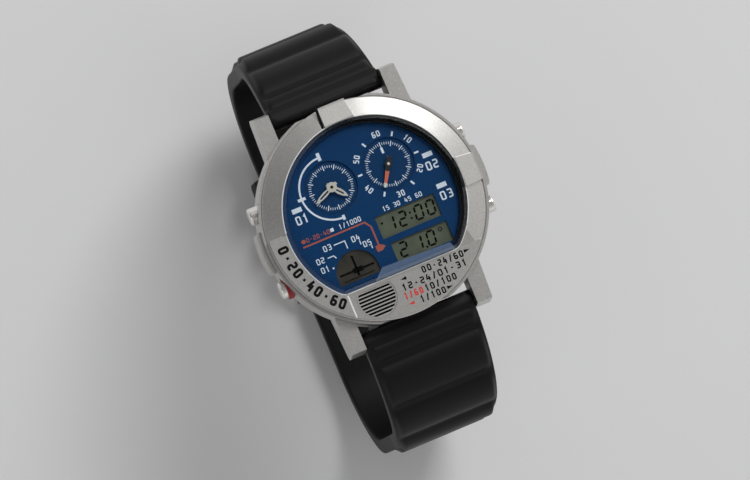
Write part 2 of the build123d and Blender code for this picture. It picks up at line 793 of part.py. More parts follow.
with BuildPart() as bezel:
    with BuildSketch(Plane.XZ):
        with BuildLine():
            Polyline((0, case_seat), (bezel_radius, case_seat), (bezel_radius, case_rim),
                     (bezel_cone_radius, case_rim + bezel_radius - bezel_cone_radius),
                     (bezel_cone_radius, cone_low), (window_radius, cone_top), (0, cone_top),
                     (0, case_seat))
        make_face()
    revolve(axis=Axis.Z)
    # Space above the two plates
    with BuildSketch(Plane.XY.offset(plate_left)):
        span_rectangle(-far, -plate_wall_reach, -far, plate_left_top_reach, 0)
    extrude(amount=cone_top - plate_left, mode=Mode.SUBTRACT)
    with BuildSketch(Plane.YZ.offset(-plate_wall_reach)):
        with BuildLine():
            blend_y = plate_blend - window_chord
            blend_top = cone_top + tab_height
            Polyline((-far, plate_low), (-window_chord, plate_low), (blend_y, blend_top),
                     (-far, blend_top), (-far, plate_low))
        make_face()
    extrude(amount=far, mode=Mode.SUBTRACT)
    # Plates out to the cone's foot
    with BuildSketch(Plane.XY.offset(case_seat)):
        Circle(bezel_cone_radius)
        span_rectangle(-far, -plate_wall_reach, -far, plate_left_top_reach, 0, mode=Mode.INTERSECT)
    extrude(amount=plate_left - case_seat)
    with BuildSketch(Plane.XY.offset(case_seat)):
        Circle(bezel_cone_radius)
        span_rectangle(-plate_wall_reach, far, -far, -window_chord, 0, mode=Mode.INTERSECT)
    extrude(amount=plate_low - case_seat)
    add(tab_groove.part, mode=Mode.SUBTRACT)
    add(tab_groove.part.mirror(Plane.YZ).rotate(Axis.Z, -quarter_turn), mode=Mode.SUBTRACT)
    add(tab.part)
    add(tab.part.rotate(Axis.Z, -quarter_turn))
    # Window, with a ledge under the glass
    with BuildSketch(Plane.XY.offset(ledge_top)):
        window_outline(0)
    extrude(amount=glass_top - ledge_top, mode=Mode.SUBTRACT)
    with BuildSketch(Plane.XY.offset(case_seat)):
        window_outline(ledge_width)
    extrude(amount=ledge_top - case_seat, mode=Mode.SUBTRACT)
    with BuildSketch(Plane.XY.offset(case_seat)):
        Circle(dial_radius + layer_gap)
    extrude(amount=ledge_low - case_seat, mode=Mode.SUBTRACT)
    # Stepped pocket for the sensor and its grille
    with BuildSketch(Plane.XY.offset(grille_low)):
        with Locations((grille_x, grille_y)):
            Circle(grille_radius)
        span_rectangle(-far, far, -far, grille_y + grille_flat_reach, 0, mode=Mode.INTERSECT)
    extrude(amount=cone_top - grille_low, mode=Mode.SUBTRACT)
    with BuildSketch(Plane.XY.offset(case_seat)):
        with Locations((grille_x, grille_y)):
            Circle(sensor_radius + layer_gap)
    extrude(amount=grille_low - case_seat, mode=Mode.SUBTRACT)
bezel.part.label = "bezel"
export_step(bezel.part, "parts/bezel.step")

# Sensor under a slotted grille
with BuildPart() as sensor_grille:
    with BuildSketch(Plane.XY.offset(grille_low)):
        with Locations((grille_x, grille_y)):
            Circle(grille_radius - seat_gap)
        span_rectangle(-far, far, -far, grille_y + grille_flat_reach - seat_gap, 0, mode=Mode.INTERSECT)
    extrude(amount=grille_thickness - layer_gap)
    with BuildSketch(Plane.XY.offset(grille_low)):
        with Locations((grille_x, grille_y)):
            Circle(grille_radius - grille_rim)
        span_rectangle(-far, far, -far, grille_y + grille_flat_reach - grille_rim, 0,
                       mode=Mode.INTERSECT)
        bars = grille_bar_count * grille_pitch
        for bar in range(grille_bar_count):
            level = grille_y + grille_flat_reach - grille_rim - (bar + 1) * grille_pitch
            span_rectangle(-far, far, level, level + grille_pitch - grille_slot, 0, mode=Mode.SUBTRACT)
    extrude(amount=grille_thickness, mode=Mode.SUBTRACT)
sensor_grille.part.label = "sensor_grille"
export_step(sensor_grille.part, "parts/sensor_grille.step")

with BuildPart() as temperature_sensor:
    with BuildSketch(Plane.XY.offset(grille_low - sensor_height)):
        with Locations((grille_x, grille_y)):
            Circle(sensor_radius)
    extrude(amount=sensor_height)
    with BuildSketch(Plane.XY.offset(board_top)):
        with Locations(*sensor_pin_places):
            Circle(sensor_pin_radius)
    extrude(amount=grille_low - sensor_height - board_top)
temperature_sensor.part.label = "temperature_sensor"
export_step(temperature_sensor.part, "parts/temperature_sensor.step")

# Glass on its gasket, over the ring that frames the dial
with BuildPart() as glass_gasket:
    with BuildSketch(Plane.XY.offset(ledge_top)):
        window_outline(seat_gap)
    extrude(amount=glass_gasket_height)
    with BuildSketch(Plane.XY.offset(ledge_top)):
        window_outline(ledge_width)
    extrude(amount=glass_gasket_height, mode=Mode.SUBTRACT)
glass_gasket.part.label = "glass_gasket"
export_step(glass_gasket.part, "parts/glass_gasket.step")

with BuildPart() as crystal:
    with BuildSketch(Plane.XY.offset(glass_low)):
        window_outline(seat_gap)
    extrude(amount=glass_top - glass_low)
    chamfer(crystal.edges().group_by(Axis.Z)[-1], glass_bevel)
crystal.part.label = "crystal"
export_step(crystal.part, "parts/crystal.step")

with BuildPart() as dial_ring:
    with BuildSketch(Plane.XY.offset(dial_top)):
        window_outline(ledge_width + seat_gap)
    extrude(amount=ledge_top - dial_top)
    with BuildSketch(Plane.XY.offset(dial_top)):
        window_outline(ledge_width + seat_gap + reveal_width)
    extrude(amount=ledge_top - dial_top, mode=Mode.SUBTRACT)
dial_ring.part.label = "dial_ring"
export_step(dial_ring.part, "parts/dial_ring.step")

# Dial with openings for two small dials and three displays
with BuildPart() as dial:
    with BuildSketch(Plane.XY.offset(dial_low)):
        Circle(dial_radius)
        with Locations((-subdial_x, subdial_y), (subdial_x, subdial_y)):
            Circle(subdial_radius, mode=Mode.SUBTRACT)
        span_rectangle(upper_window_left, upper_window_right, upper_window_low, upper_window_top, 0,
                       mode=Mode.SUBTRACT)
        span_rectangle(lower_window_left, lower_window_right, lower_window_low, lower_window_top, 0,
                       mode=Mode.SUBTRACT)
        arch_outline(0, mode=Mode.SUBTRACT)
        with Locations(*sensor_pin_places):
            Circle(sensor_pin_radius + layer_gap, mode=Mode.SUBTRACT)
    extrude(amount=dial_thickness)
dial.part.label = "dial"
export_step(dial.part, "parts/dial.step")

for subdial_name, side, hole_radius in (("time_subdial", -1, hour_pipe_radius),
                                        ("function_subdial", 1, arbor_radius)):
    with BuildPart() as subdial:
        with BuildSketch(Plane.XY.offset(dial_low)):
            with Locations((side * subdial_x, subdial_y)):
                Circle(subdial_radius - seat_gap)
                Circle(hole_radius + running_gap, mode=Mode.SUBTRACT)
        extrude(amount=subdial_thickness)
    subdial.part.label = subdial_name
    export_step(subdial.part, f"parts/{subdial_name}.step")

with BuildPart() as main_lcd:
    with BuildSketch(Plane.XY.offset(lcd_low)):
        span_rectangle(upper_window_left, lower_window_right, lower_window_low, upper_window_top,
                       lcd_margin)
    extrude(amount=lcd_thickness)
main_lcd.part.label = "main_lcd"
export_step(main_lcd.part, "parts/main_lcd.step")

with BuildPart() as mode_lcd:
    with BuildSketch(Plane.XY.offset(lcd_low)):
        arch_outline(lcd_margin)
    extrude(amount=lcd_thickness)
mode_lcd.part.label = "mode_lcd"
export_step(mode_lcd.part, "parts/mode_lcd.step")

# Hands. Angles are clock angles, from 12 o'clock towards 3 o'clock.
hand_low = dial_top + hour_hand_lift
minute_hand_low = dial_top + minute_hand_lift


def clock_point(length, aside, clock_angle, centre):
    """Point at a length along a hand and a distance to its right."""
    turn = radians(clock_angle)
    return (centre[0] + length * sin(turn) + aside * cos(turn),
            centre[1] + length * cos(turn) - aside * sin(turn))


def hand_outline(centre, clock_angle, stations):
    """Closed outline through pairs of a length and a half width, the same on both sides."""
    right = [clock_point(length, half, clock_angle, centre) for length, half in stations]
    left = [clock_point(length, -half, clock_angle, centre) for length, half in reversed(stations)]
    with BuildLine(mode=Mode.PRIVATE) as edge:
        Polyline(*right, *left, close=True)
    make_face(edge.edges())


time_centre = (-subdial_x, subdial_y)
function_centre = (subdial_x, subdial_y)
# Half widths of a leaf hand in shares of its width, at shares of its length from hub to tip
leaf_shares = ((0, 0.3), (0.45, 0.5), (0.75, 0.4), (1, 0.08))

for hand_name, length, tail, width, clock_angle, low, bore_radius in (
        ("hour_hand", hour_hand_length, hour_hand_tail, hour_hand_width, hour_hand_angle, hand_low,
         hour_pipe_radius),
        ("minute_hand", minute_hand_length, minute_hand_tail, minute_hand_width,
         minute_hand_angle, minute_hand_low, arbor_radius)):
    with BuildPart() as hand:
        with BuildSketch(Plane.XY.offset(low)):
            leaf = [(length * along_share, width * half_share)
                    for along_share, half_share in leaf_shares]
            hand_outline(time_centre, clock_angle, [(-tail, width * leaf_shares[0][1])] + leaf)
            slot_start = hand_hub_radius
            slot_end = length * leaf_shares[2][0]
            slot_middle = clock_point((slot_start + slot_end) / 2, 0, clock_angle, time_centre)
            with Locations(slot_middle):
                SlotOverall(slot_end - slot_start, hand_slot_width, rotation=quarter_turn - clock_angle,
                            mode=Mode.SUBTRACT)
            with Locations(time_centre):
                Circle(hand_hub_radius)
                Circle(bore_radius, mode=Mode.SUBTRACT)
        extrude(amount=hand_thickness)
    hand.part.label = hand_name
    export_step(hand.part, f"parts/{hand_name}.step")

with BuildPart() as function_hand:
    with BuildSketch(Plane.XY.offset(hand_low)):
        hand_outline(function_centre, function_hand_angle,
                     [(-function_hand_tail, function_hand_root / 2),
                      (0, function_hand_root / 2), (function_hand_length, function_hand_tip / 2)])
        with Locations(function_centre):
            Circle(function_hub_radius)
            Circle(arbor_radius, mode=Mode.SUBTRACT)
    extrude(amount=hand_thickness)
function_hand.part.label = "function_hand"
export_step(function_hand.part, "parts/function_hand.step")

# Wheels. Each train has a magnet rotor, a reducer and a hand wheel, and the time train goes on
# through a motion wheel to the hour wheel. The train runs towards 6 o'clock from its hands.
reducer_distance = pitch_radius(minute_teeth + small_pinion_teeth, tooth_module)
rotor_distance = pitch_radius(reducer_teeth + small_pinion_teeth, tooth_module)
motion_distance = pitch_radius(motion_teeth + cannon_teeth, motion_module)
staff_top = roof_low + pivot_length
staff_low = board_top + running_gap

for train_name, side in (("time", -1), ("function", 1)):
    hand_x = side * subdial_x
    rotor_x = side * (subdial_x + rotor_distance)
    reducer_y = subdial_y - reducer_distance

    with BuildPart() as rotor:
        with BuildSketch(Plane.XY.offset(back_z + magnet_rise)):
            with Locations((rotor_x, reducer_y)):
                Circle(magnet_radius)
        extrude(amount=magnet_height)
        with BuildSketch(Plane.XY.offset(staff_low)):
            with Locations((rotor_x, reducer_y)):
                Circle(staff_radius)
        extrude(amount=roof_low - running_gap - staff_low)
        with BuildSketch(Plane.XY.offset(staff_low)):
            with Locations((rotor_x, reducer_y)):
                Circle(pivot_radius)
        extrude(amount=staff_top - staff_low)
        with BuildSketch(Plane((rotor_x, reducer_y, back_z + rotor_pinion_rise))):
            gear_outline(small_pinion_teeth, tooth_module, 0)
        extrude(amount=pinion_height)
    rotor.part.label = f"{train_name}_rotor"
    export_step(rotor.part, f"parts/{train_name}_rotor.step")

    with BuildPart() as reducer:
        with BuildSketch(Plane.XY.offset(staff_low)):
            with Locations((hand_x, reducer_y)):
                Circle(staff_radius)
        extrude(amount=roof_low - running_gap - staff_low)
        with BuildSketch(Plane.XY.offset(staff_low)):
            with Locations((hand_x, reducer_y)):
                Circle(pivot_radius)
        extrude(amount=staff_top - staff_low)
        with BuildSketch(Plane((hand_x, reducer_y, back_z + rotor_pinion_rise))):
            gear_outline(reducer_teeth, tooth_module, pi / reducer_teeth)
        extrude(amount=wheel_thickness)
        with BuildSketch(Plane((hand_x, reducer_y, back_z + minute_wheel_rise))):
            gear_outline(small_pinion_teeth, tooth_module, pi / 2)
        extrude(amount=pinion_height)
    reducer.part.label = f"{train_name}_reducer"
    export_step(reducer.part, f"parts/{train_name}_reducer.step")

    # The hand's arbor stands on the board and carries its wheel
    arbor_top = (minute_hand_low if side < 0 else hand_low) + hand_thickness + running_gap
    with BuildPart() as arbor:
        with BuildSketch(Plane.XY.offset(staff_low)):
            with Locations((hand_x, subdial_y)):
                Circle(arbor_radius)
        extrude(amount=arbor_top - staff_low)
        with BuildSketch(Plane((hand_x, subdial_y, back_z + minute_wheel_rise))):
            gear_outline(minute_teeth, tooth_module, pi / 2 + pi / minute_teeth)
        extrude(amount=wheel_thickness)
        if side < 0:
            with BuildSketch(Plane((hand_x, subdial_y, back_z + cannon_rise))):
                gear_outline(cannon_teeth, motion_module, 0)
            extrude(amount=pinion_height)
    arbor_name = "minute_arbor" if side < 0 else "function_arbor"
    arbor.part.label = arbor_name
    export_step(arbor.part, f"parts/{arbor_name}.step")

motion_x = -subdial_x - motion_distance

with BuildPart() as motion_wheel:
    with BuildSketch(Plane.XY.offset(back_z + cannon_rise)):
        with Locations((motion_x, subdial_y)):
            Circle(staff_radius)
    extrude(amount=roof_low - running_gap - back_z - cannon_rise)
    with BuildSketch(Plane.XY.offset(back_z + cannon_rise)):
        with Locations((motion_x, subdial_y)):
            Circle(pivot_radius)
    extrude(amount=staff_top - back_z - cannon_rise)
    with BuildSketch(Plane((motion_x, subdial_y, back_z + cannon_rise))):
        gear_outline(motion_teeth, motion_module, pi / motion_teeth)
    extrude(amount=wheel_thickness)
    with BuildSketch(Plane((motion_x, subdial_y, back_z + hour_wheel_rise))):
        gear_outline(motion_pinion_teeth, motion_module, pi / motion_pinion_teeth)
    extrude(amount=pinion_height)
motion_wheel.part.label = "motion_wheel"
export_step(motion_wheel.part, "parts/motion_wheel.step")

with BuildPart() as hour_wheel:
    with BuildSketch(Plane((-subdial_x, subdial_y, back_z + hour_wheel_rise))):
        gear_outline(hour_teeth, motion_module, 0)
    extrude(amount=wheel_thickness)
    with BuildSketch(Plane((-subdial_x, subdial_y, back_z + hour_wheel_rise))):
        Circle(hour_pipe_radius)
    extrude(amount=hand_low + hand_thickness - back_z - hour_wheel_rise)
    with BuildSketch(Plane((-subdial_x, subdial_y, back_z + hour_wheel_rise))):
        Circle(arbor_radius + running_gap)
    extrude(amount=dial_top - back_z, mode=Mode.SUBTRACT)
hour_wheel.part.label = "hour_wheel"
export_step(hour_wheel.part, "parts/hour_wheel.step")

# Push buttons, each with its coil spring, its seal and a clip on the stem's inner end
spring_low = pusher_pocket_floor + spring_wire / 2 + running_gap / 2
spring_high = pusher_tip_reach - pusher_length - spring_wire / 2 - running_gap / 2

for row_name, row in (("upper", 1), ("lower", -1)):
    for side_name, side in (("right", 1), ("left", -1)):
        centre = (row * pusher_y, pusher_z)
        with BuildPart() as pusher:
            with BuildSketch(Plane.YZ.offset(side * pusher_tip_reach)):
                with Locations(centre):
                    Circle(pusher_radius)
            extrude(amount=-side * pusher_length)
            fillet(pusher.edges().sort_by(Axis.X)[-1 if side > 0 else 0], pusher_round)
            with BuildSketch(Plane.YZ.offset(side * pusher_stem_end)):
                with Locations(centre):
                    Circle(pusher_stem_radius)
            extrude(amount=side * (pusher_tip_reach - pusher_length - pusher_stem_end + overrun))
        pusher.part.label = f"pusher_{row_name}_{side_name}"
        export_step(pusher.part, f"parts/pusher_{row_name}_{side_name}.step")

        clip_outer = cavity_radius_at_pusher - seat_gap
        with BuildPart() as clip:
            with BuildSketch(Plane.YZ.offset(side * clip_outer)):
                with Locations(centre):
                    Circle(clip_radius)
                    Circle(pusher_stem_radius, mode=Mode.SUBTRACT)
            extrude(amount=-side * clip_thickness)
        clip.part.label = f"pusher_clip_{row_name}_{side_name}"
        export_step(clip.part, f"parts/pusher_clip_{row_name}_{side_name}.step")

        with BuildPart() as spring:
            with BuildLine() as coil:
                Helix((spring_high - spring_low) / spring_turns, spring_high - spring_low,
                      spring_radius, center=(side * spring_low, *centre), direction=(side, 0, 0))
            with BuildSketch(Plane(coil.line @ 0, z_dir=coil.line % 0)):
                Circle(spring_wire / 2)
            sweep(is_frenet=True)
        spring.part.label = f"pusher_spring_{row_name}_{side_name}"
        export_step(spring.part, f"parts/pusher_spring_{row_name}_{side_name}.step")

with BuildPart() as pusher_seals:
    for side in (-1, 1):
        with BuildSketch(Plane.YZ.offset(side * pusher_pocket_floor)):
            for row in (-1, 1):
                with Locations((row * pusher_y, pusher_z)):
                    Circle(pusher_stem_radius + seal_gap + seal_width)
                    Circle(pusher_stem_radius + seal_gap, mode=Mode.SUBTRACT)
        extrude(amount=side * seal_height)
pusher_seals.part.label = "pusher_seals"
export_step(pusher_seals.part, "parts/pusher_seals.step")

with BuildPart() as button_collar:
    with BuildSketch(Plane.YZ.offset(-collar_seat_reach)):
        with Locations((-pusher_y, pusher_z)):
            Circle(pocket_radius + collar_width)
            Circle(pocket_radius, mode=Mode.SUBTRACT)
    extrude(amount=-collar_height)
button_collar.part.label = "button_collar"
export_step(button_collar.part, "parts/button_collar.step")

# Battery, standing in the board's opening, and the clamp across it
with BuildPart() as battery:
    with BuildSketch(Plane.XY.offset(board_low)):
        with Locations((battery_x, battery_y)):
            Circle(battery_radius)
    extrude(amount=battery_thickness - battery_step)
    with BuildSketch(Plane.XY.offset(board_low)):
        with Locations((battery_x, battery_y)):
            Circle(battery_radius - battery_lip)
    extrude(amount=battery_thickness)
battery.part.label = "battery"
export_step(battery.part, "parts/battery.step")

with BuildPart() as battery_clamp:
    with BuildSketch(Plane.XY.offset(board_low - clamp_thickness)):
        with Locations((battery_x - clamp_shift, battery_y + clamp_shift)):
            SlotOverall(clamp_length, clamp_width, rotation=clamp_angle)
    extrude(amount=clamp_thickness)
battery_clamp.part.label = "battery_clamp"
export_step(battery_clamp.part, "parts/battery_clamp.step")

# Circuit board with the parts soldered to it
with BuildPart() as circuit_board:
    with BuildSketch(Plane.XY.offset(board_low)):
        Circle(board_radius)
        with Locations((battery_x, battery_y)):
            Circle(battery_radius + battery_gap, mode=Mode.SUBTRACT)
        for side in (-1, 1):
            for row in (-1, 1):
                with Locations((side * board_radius, row * pusher_y)):
                    Rectangle(2 * (board_radius - pusher_stem_end + notch_depth), 2 * notch_half,
                              mode=Mode.SUBTRACT)
    extrude(amount=board_thickness)
circuit_board.part.label = "circuit_board"
export_step(circuit_board.part, "parts/circuit_board.step")

with BuildPart() as driver_chip:
    with BuildSketch(Plane.XY.offset(board_top)):
        with Locations((chip_x, chip_y)):
            Rectangle(chip_size, chip_size)
    extrude(amount=chip_height)
driver_chip.part.label = "driver_chip"
export_step(driver_chip.part, "parts/driver_chip.step")

with BuildPart() as quartz_can:
    with BuildSketch(Plane.YZ.offset(quartz_x - quartz_length / 2)):
        with Locations((quartz_y, board_top + quartz_radius)):
            Circle(quartz_radius)
    extrude(amount=quartz_length)
quartz_can.part.label = "quartz_can"
export_step(quartz_can.part, "parts/quartz_can.step")

with BuildPart() as display_contacts:
    with BuildSketch(Plane.XY.offset(board_top)):
        with Locations((zebra_x, zebra_y)):
            Rectangle(zebra_length, zebra_width)
    extrude(amount=lcd_low - board_top)
display_contacts.part.label = "display_contacts"
export_step(display_contacts.part, "parts/display_contacts.step")

with BuildPart() as display_lamp:
    with BuildSketch(Plane.XZ.offset(-lamp_y - lamp_length / 2)):
        with Locations((lamp_x, frame_top - lamp_radius - layer_gap)):
            Circle(lamp_radius)
    extrude(amount=lamp_length)
    fillet(display_lamp.edges().group_by(Axis.Y)[-1], lamp_radius / 2)
display_lamp.part.label = "display_lamp"
export_step(display_lamp.part, "parts/display_lamp.step")

# Buzzer disc glued inside the back cover, with the spring that feeds it
with BuildPart() as buzzer_disc:
    with BuildSketch(Plane.XY.offset(back_inner)):
        with Locations((0, buzzer_y)):
            Circle(buzzer_radius)
    extrude(amount=buzzer_thickness)
buzzer_disc.part.label = "buzzer_disc"
export_step(buzzer_disc.part, "parts/buzzer_disc.step")

with BuildPart() as buzzer_spring:
    spring_foot = back_inner + buzzer_thickness + spring_wire / 2
    spring_rise = board_low - spring_wire / 2 - spring_foot
    with BuildLine() as coil:
        Helix(spring_rise / spring_turns, spring_rise, buzzer_spring_radius,
              center=(0, buzzer_y, spring_foot))
    with BuildSketch(Plane(coil.line @ 0, z_dir=coil.line % 0)):
        Circle(spring_wire / 2 - running_gap / 2)
    sweep(is_frenet=True)
buzzer_spring.part.label = "buzzer_spring"
export_step(buzzer_spring.part, "parts/buzzer_spring.step")

# Coils and stators of the two stepping motors
coil_z = back_z + coil_rise
core_low = coil_z - core_thickness / 2
core_half = coil_length / 2 + core_overhang

with BuildPart() as motor_coils:
    with BuildSketch(Plane.YZ.offset(coil_x - coil_length / 2)):
        with Locations((coil_y, coil_z)):
            Circle(coil_radius)
    extrude(amount=coil_length)
    with BuildSketch(Plane.XY.offset(core_low)):
        with Locations((coil_x, coil_y)):
            Rectangle(2 * core_half, core_width)
    extrude(amount=core_thickness)
    mirror(about=Plane.YZ)
motor_coils.part.label = "motor_coils"
export_step(motor_coils.part, "parts/motor_coils.step")

with BuildPart() as motor_stators:
    with BuildSketch(Plane.XY.offset(core_low - stator_thickness)):
        core_edge = coil_y - core_width / 2
        span_rectangle(coil_x - core_half, coil_x + core_half, core_edge, stator_top, 0)
        span_rectangle(coil_x - coil_length / 2, coil_x + coil_length / 2, core_edge, stator_window, 0,
                       mode=Mode.SUBTRACT)
        with Locations((subdial_x + rotor_distance, subdial_y - reducer_distance)):
            Circle(magnet_radius + stator_hole_gap, mode=Mode.SUBTRACT)
        with Locations((subdial_x, subdial_y - reducer_distance)):
            Circle(staff_radius + stator_hole_gap, mode=Mode.SUBTRACT)
    extrude(amount=stator_thickness)
    mirror(about=Plane.YZ)
motor_stators.part.label = "motor_stators"
export_step(motor_stators.part, "parts/motor_stators.step")

# Frame of the movement, which holds everything between the board and the dial
with BuildPart() as module_frame:
    with BuildSketch(Plane.XY.offset(board_top)):
        Circle(frame_radius)
    extrude(amount=frame_top - board_top)
    # Pockets for the display glasses and the lamp, open towards the dial
    with BuildSketch(Plane.XY.offset(lcd_low)):
        span_rectangle(upper_window_left, lower_window_right, lower_window_low, upper_window_top,
                       lcd_margin + seat_gap)
        arch_outline(lcd_margin + seat_gap)
    extrude(amount=lcd_thickness, mode=Mode.SUBTRACT)
    with BuildSketch(Plane.XY.offset(frame_top - 2 * (lamp_radius + layer_gap))):
        with Locations((lamp_x, lamp_y)):
            Rectangle(2 * (lamp_radius + layer_gap), lamp_length + 2 * layer_gap)
    extrude(amount=2 * (lamp_radius + layer_gap), mode=Mode.SUBTRACT)
    # Bays for the two motors and their trains, open towards the board
    with BuildSketch(Plane.XY.offset(board_top)):
        span_rectangle(-bay_left, -bay_right, bay_low, bay_top, 0)
        span_rectangle(bay_right, bay_left, bay_low, bay_top, 0)
    extrude(amount=roof_low - board_top, mode=Mode.SUBTRACT)
    with BuildSketch(Plane.XY.offset(roof_low)):
        with Locations((-subdial_x, subdial_y)):
            Circle(hour_pipe_radius + running_gap)
        with Locations((subdial_x, subdial_y)):
            Circle(arbor_radius + running_gap)
    extrude(amount=frame_top - roof_low, mode=Mode.SUBTRACT)
    with BuildSketch(Plane.XY.offset(roof_low)):
        with Locations((-subdial_x, subdial_y - reducer_distance),
                       (subdial_x, subdial_y - reducer_distance),
                       (-subdial_x - rotor_distance, subdial_y - reducer_distance),
                       (subdial_x + rotor_distance, subdial_y - reducer_distance),
                       (motion_x, subdial_y)):
            Circle(pivot_radius + running_gap)
    extrude(amount=pivot_length + running_gap, mode=Mode.SUBTRACT)
    # Pockets for the battery, the board's parts and the display contacts
    with BuildSketch(Plane.XY.offset(board_top)):
        with Locations((battery_x, battery_y)):
            Circle(battery_radius + battery_gap)
    extrude(amount=battery_thickness - board_thickness + layer_gap, mode=Mode.SUBTRACT)
    with BuildSketch(Plane.XY.offset(board_top)):
        with Locations((chip_x, chip_y)):
            Rectangle(chip_size + 2 * layer_gap, chip_size + 2 * layer_gap)
        with Locations((quartz_x, quartz_y)):
            Rectangle(quartz_length + 2 * layer_gap, 2 * (quartz_radius + layer_gap))
    extrude(amount=pocket_height, mode=Mode.SUBTRACT)
    with BuildSketch(Plane.XY.offset(board_top)):
        with Locations((zebra_x, zebra_y)):
            Rectangle(zebra_length + 2 * layer_gap, zebra_width + 2 * seat_gap)
        with Locations(*sensor_pin_places):
            Circle(sensor_pin_radius + layer_gap)
    extrude(amount=frame_top - board_top, mode=Mode.SUBTRACT)
    # Notches that the buttons' stems reach into
    with BuildSketch(Plane.XY.offset(board_top)):
        for side in (-1, 1):
            for row in (-1, 1):
                with Locations((side * frame_radius, row * pusher_y)):
                    Rectangle(2 * (frame_radius - pusher_stem_end + notch_depth / 2), 2 * notch_half)
    extrude(amount=pusher_z + clip_radius + layer_gap - board_top, mode=Mode.SUBTRACT)
module_frame.part.label = "module_frame"
export_step(module_frame.part, "parts/module_frame.step")
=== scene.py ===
"""Looks of a wristwatch: blasted metal case, blue dial with hand dials and displays, ridged strap."""

import json
from math import cos, pi, radians, sin, sqrt, tan

import bmesh
import bpy
from mathutils import Matrix, Vector


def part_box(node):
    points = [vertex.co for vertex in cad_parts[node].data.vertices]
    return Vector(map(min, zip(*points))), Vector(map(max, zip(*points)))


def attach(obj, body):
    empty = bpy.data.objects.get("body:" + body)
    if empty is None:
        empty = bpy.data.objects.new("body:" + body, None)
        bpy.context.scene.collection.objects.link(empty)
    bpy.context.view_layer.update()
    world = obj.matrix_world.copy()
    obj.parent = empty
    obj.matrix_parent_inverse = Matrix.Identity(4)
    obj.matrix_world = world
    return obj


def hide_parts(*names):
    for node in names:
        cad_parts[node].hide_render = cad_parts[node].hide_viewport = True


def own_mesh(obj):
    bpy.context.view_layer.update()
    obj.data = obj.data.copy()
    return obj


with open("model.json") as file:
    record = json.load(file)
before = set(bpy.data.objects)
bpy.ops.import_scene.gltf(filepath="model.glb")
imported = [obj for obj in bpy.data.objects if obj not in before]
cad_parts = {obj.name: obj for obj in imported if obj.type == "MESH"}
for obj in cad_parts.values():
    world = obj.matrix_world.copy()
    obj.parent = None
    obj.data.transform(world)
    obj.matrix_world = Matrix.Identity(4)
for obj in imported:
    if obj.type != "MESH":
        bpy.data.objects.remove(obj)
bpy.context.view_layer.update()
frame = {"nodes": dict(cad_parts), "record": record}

# Sizes are in millimetres up to the floor, and every finished mesh is scaled to metres by MM.
MM = 0.001
scene = bpy.context.scene


def low_of(node):
    """Lowest height of a CAD node."""
    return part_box(node)[0].z / MM


def top_of(node):
    """Greatest height of a CAD node."""
    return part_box(node)[1].z / MM


def middle_of(node):
    """Middle of a CAD node, seen from above."""
    low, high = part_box(node)
    return (low.x + high.x) / 2 / MM, (low.y + high.y) / 2 / MM


# Levels and centres taken from the frame
BACK = low_of("back_cover")
DIAL_TOP = top_of("dial")
SUBDIAL_TOP = top_of("time_subdial")
DISPLAY_TOP = top_of("main_lcd")
ARCH_TOP = top_of("mode_lcd")
PLATE_LEFT_TOP = BACK + 7.8
PLATE_LOW_TOP = BACK + 7.35
TIME_CENTRE = middle_of("time_subdial")
FUNCTION_CENTRE = middle_of("function_subdial")

# Print and clock angles
INK_THICKNESS = 0.012
CLOCK_TURN = 360
HOURS = 12
MINUTES = 60


# Materials

def shown(red, green, blue):
    """Linear colour of a display colour whose parts run from 0 to 1."""
    return tuple(((part + 0.055) / 1.055) ** 2.4 if part > 0.04045 else part / 12.92
                 for part in (red, green, blue)) + (1,)


def surface(name, colour, roughness, metallic=0.0, **settings):
    """Principled material with plain settings, named as its sockets with underscores."""
    material = bpy.data.materials.new(name)
    material.use_nodes = True
    shader = material.node_tree.nodes["Principled BSDF"]
    shader.inputs["Base Color"].default_value = colour
    shader.inputs["Roughness"].default_value = roughness
    shader.inputs["Metallic"].default_value = metallic
    for key, value in settings.items():
        shader.inputs[key.replace("_", " ")].default_value = value
    return material


def place_texture(material, stretch):
    """Mapped object coordinates in millimetres, stretched along the axes."""
    nodes, links = material.node_tree.nodes, material.node_tree.links
    coordinates = nodes.new("ShaderNodeTexCoord")
    mapping = nodes.new("ShaderNodeMapping")
    mapping.inputs["Scale"].default_value = [part / MM for part in stretch]
    links.new(coordinates.outputs["Object"], mapping.inputs["Vector"])
    return mapping.outputs["Vector"]


def grain(material, scale, depth, stretch=(1, 1, 1)):
    """Fine bumps: scale in grains per millimetre and depth in millimetres."""
    nodes, links = material.node_tree.nodes, material.node_tree.links
    noise = nodes.new("ShaderNodeTexNoise")
    noise.inputs["Scale"].default_value = scale
    noise.inputs["Detail"].default_value = 2
    bump = nodes.new("ShaderNodeBump")
    bump.inputs["Distance"].default_value = depth * MM
    links.new(place_texture(material, stretch), noise.inputs["Vector"])
    links.new(noise.outputs["Fac"], bump.inputs["Height"])
    links.new(bump.outputs["Normal"], nodes["Principled BSDF"].inputs["Normal"])
    return material


def colour_ramp(nodes, stops, interpolation="LINEAR"):
    """Ramp node whose colours stand at places from 0 to 1."""
    ramp = nodes.new("ShaderNodeValToRGB")
    ramp.color_ramp.interpolation = interpolation
    elements = ramp.color_ramp.elements
    for index, (place, colour) in enumerate(stops):
        element = elements[index] if index < len(elements) else elements.new(place)
        element.position = place
        element.color = colour
    return ramp


MOTTLE_START = 0.35
MOTTLE_END = 0.65


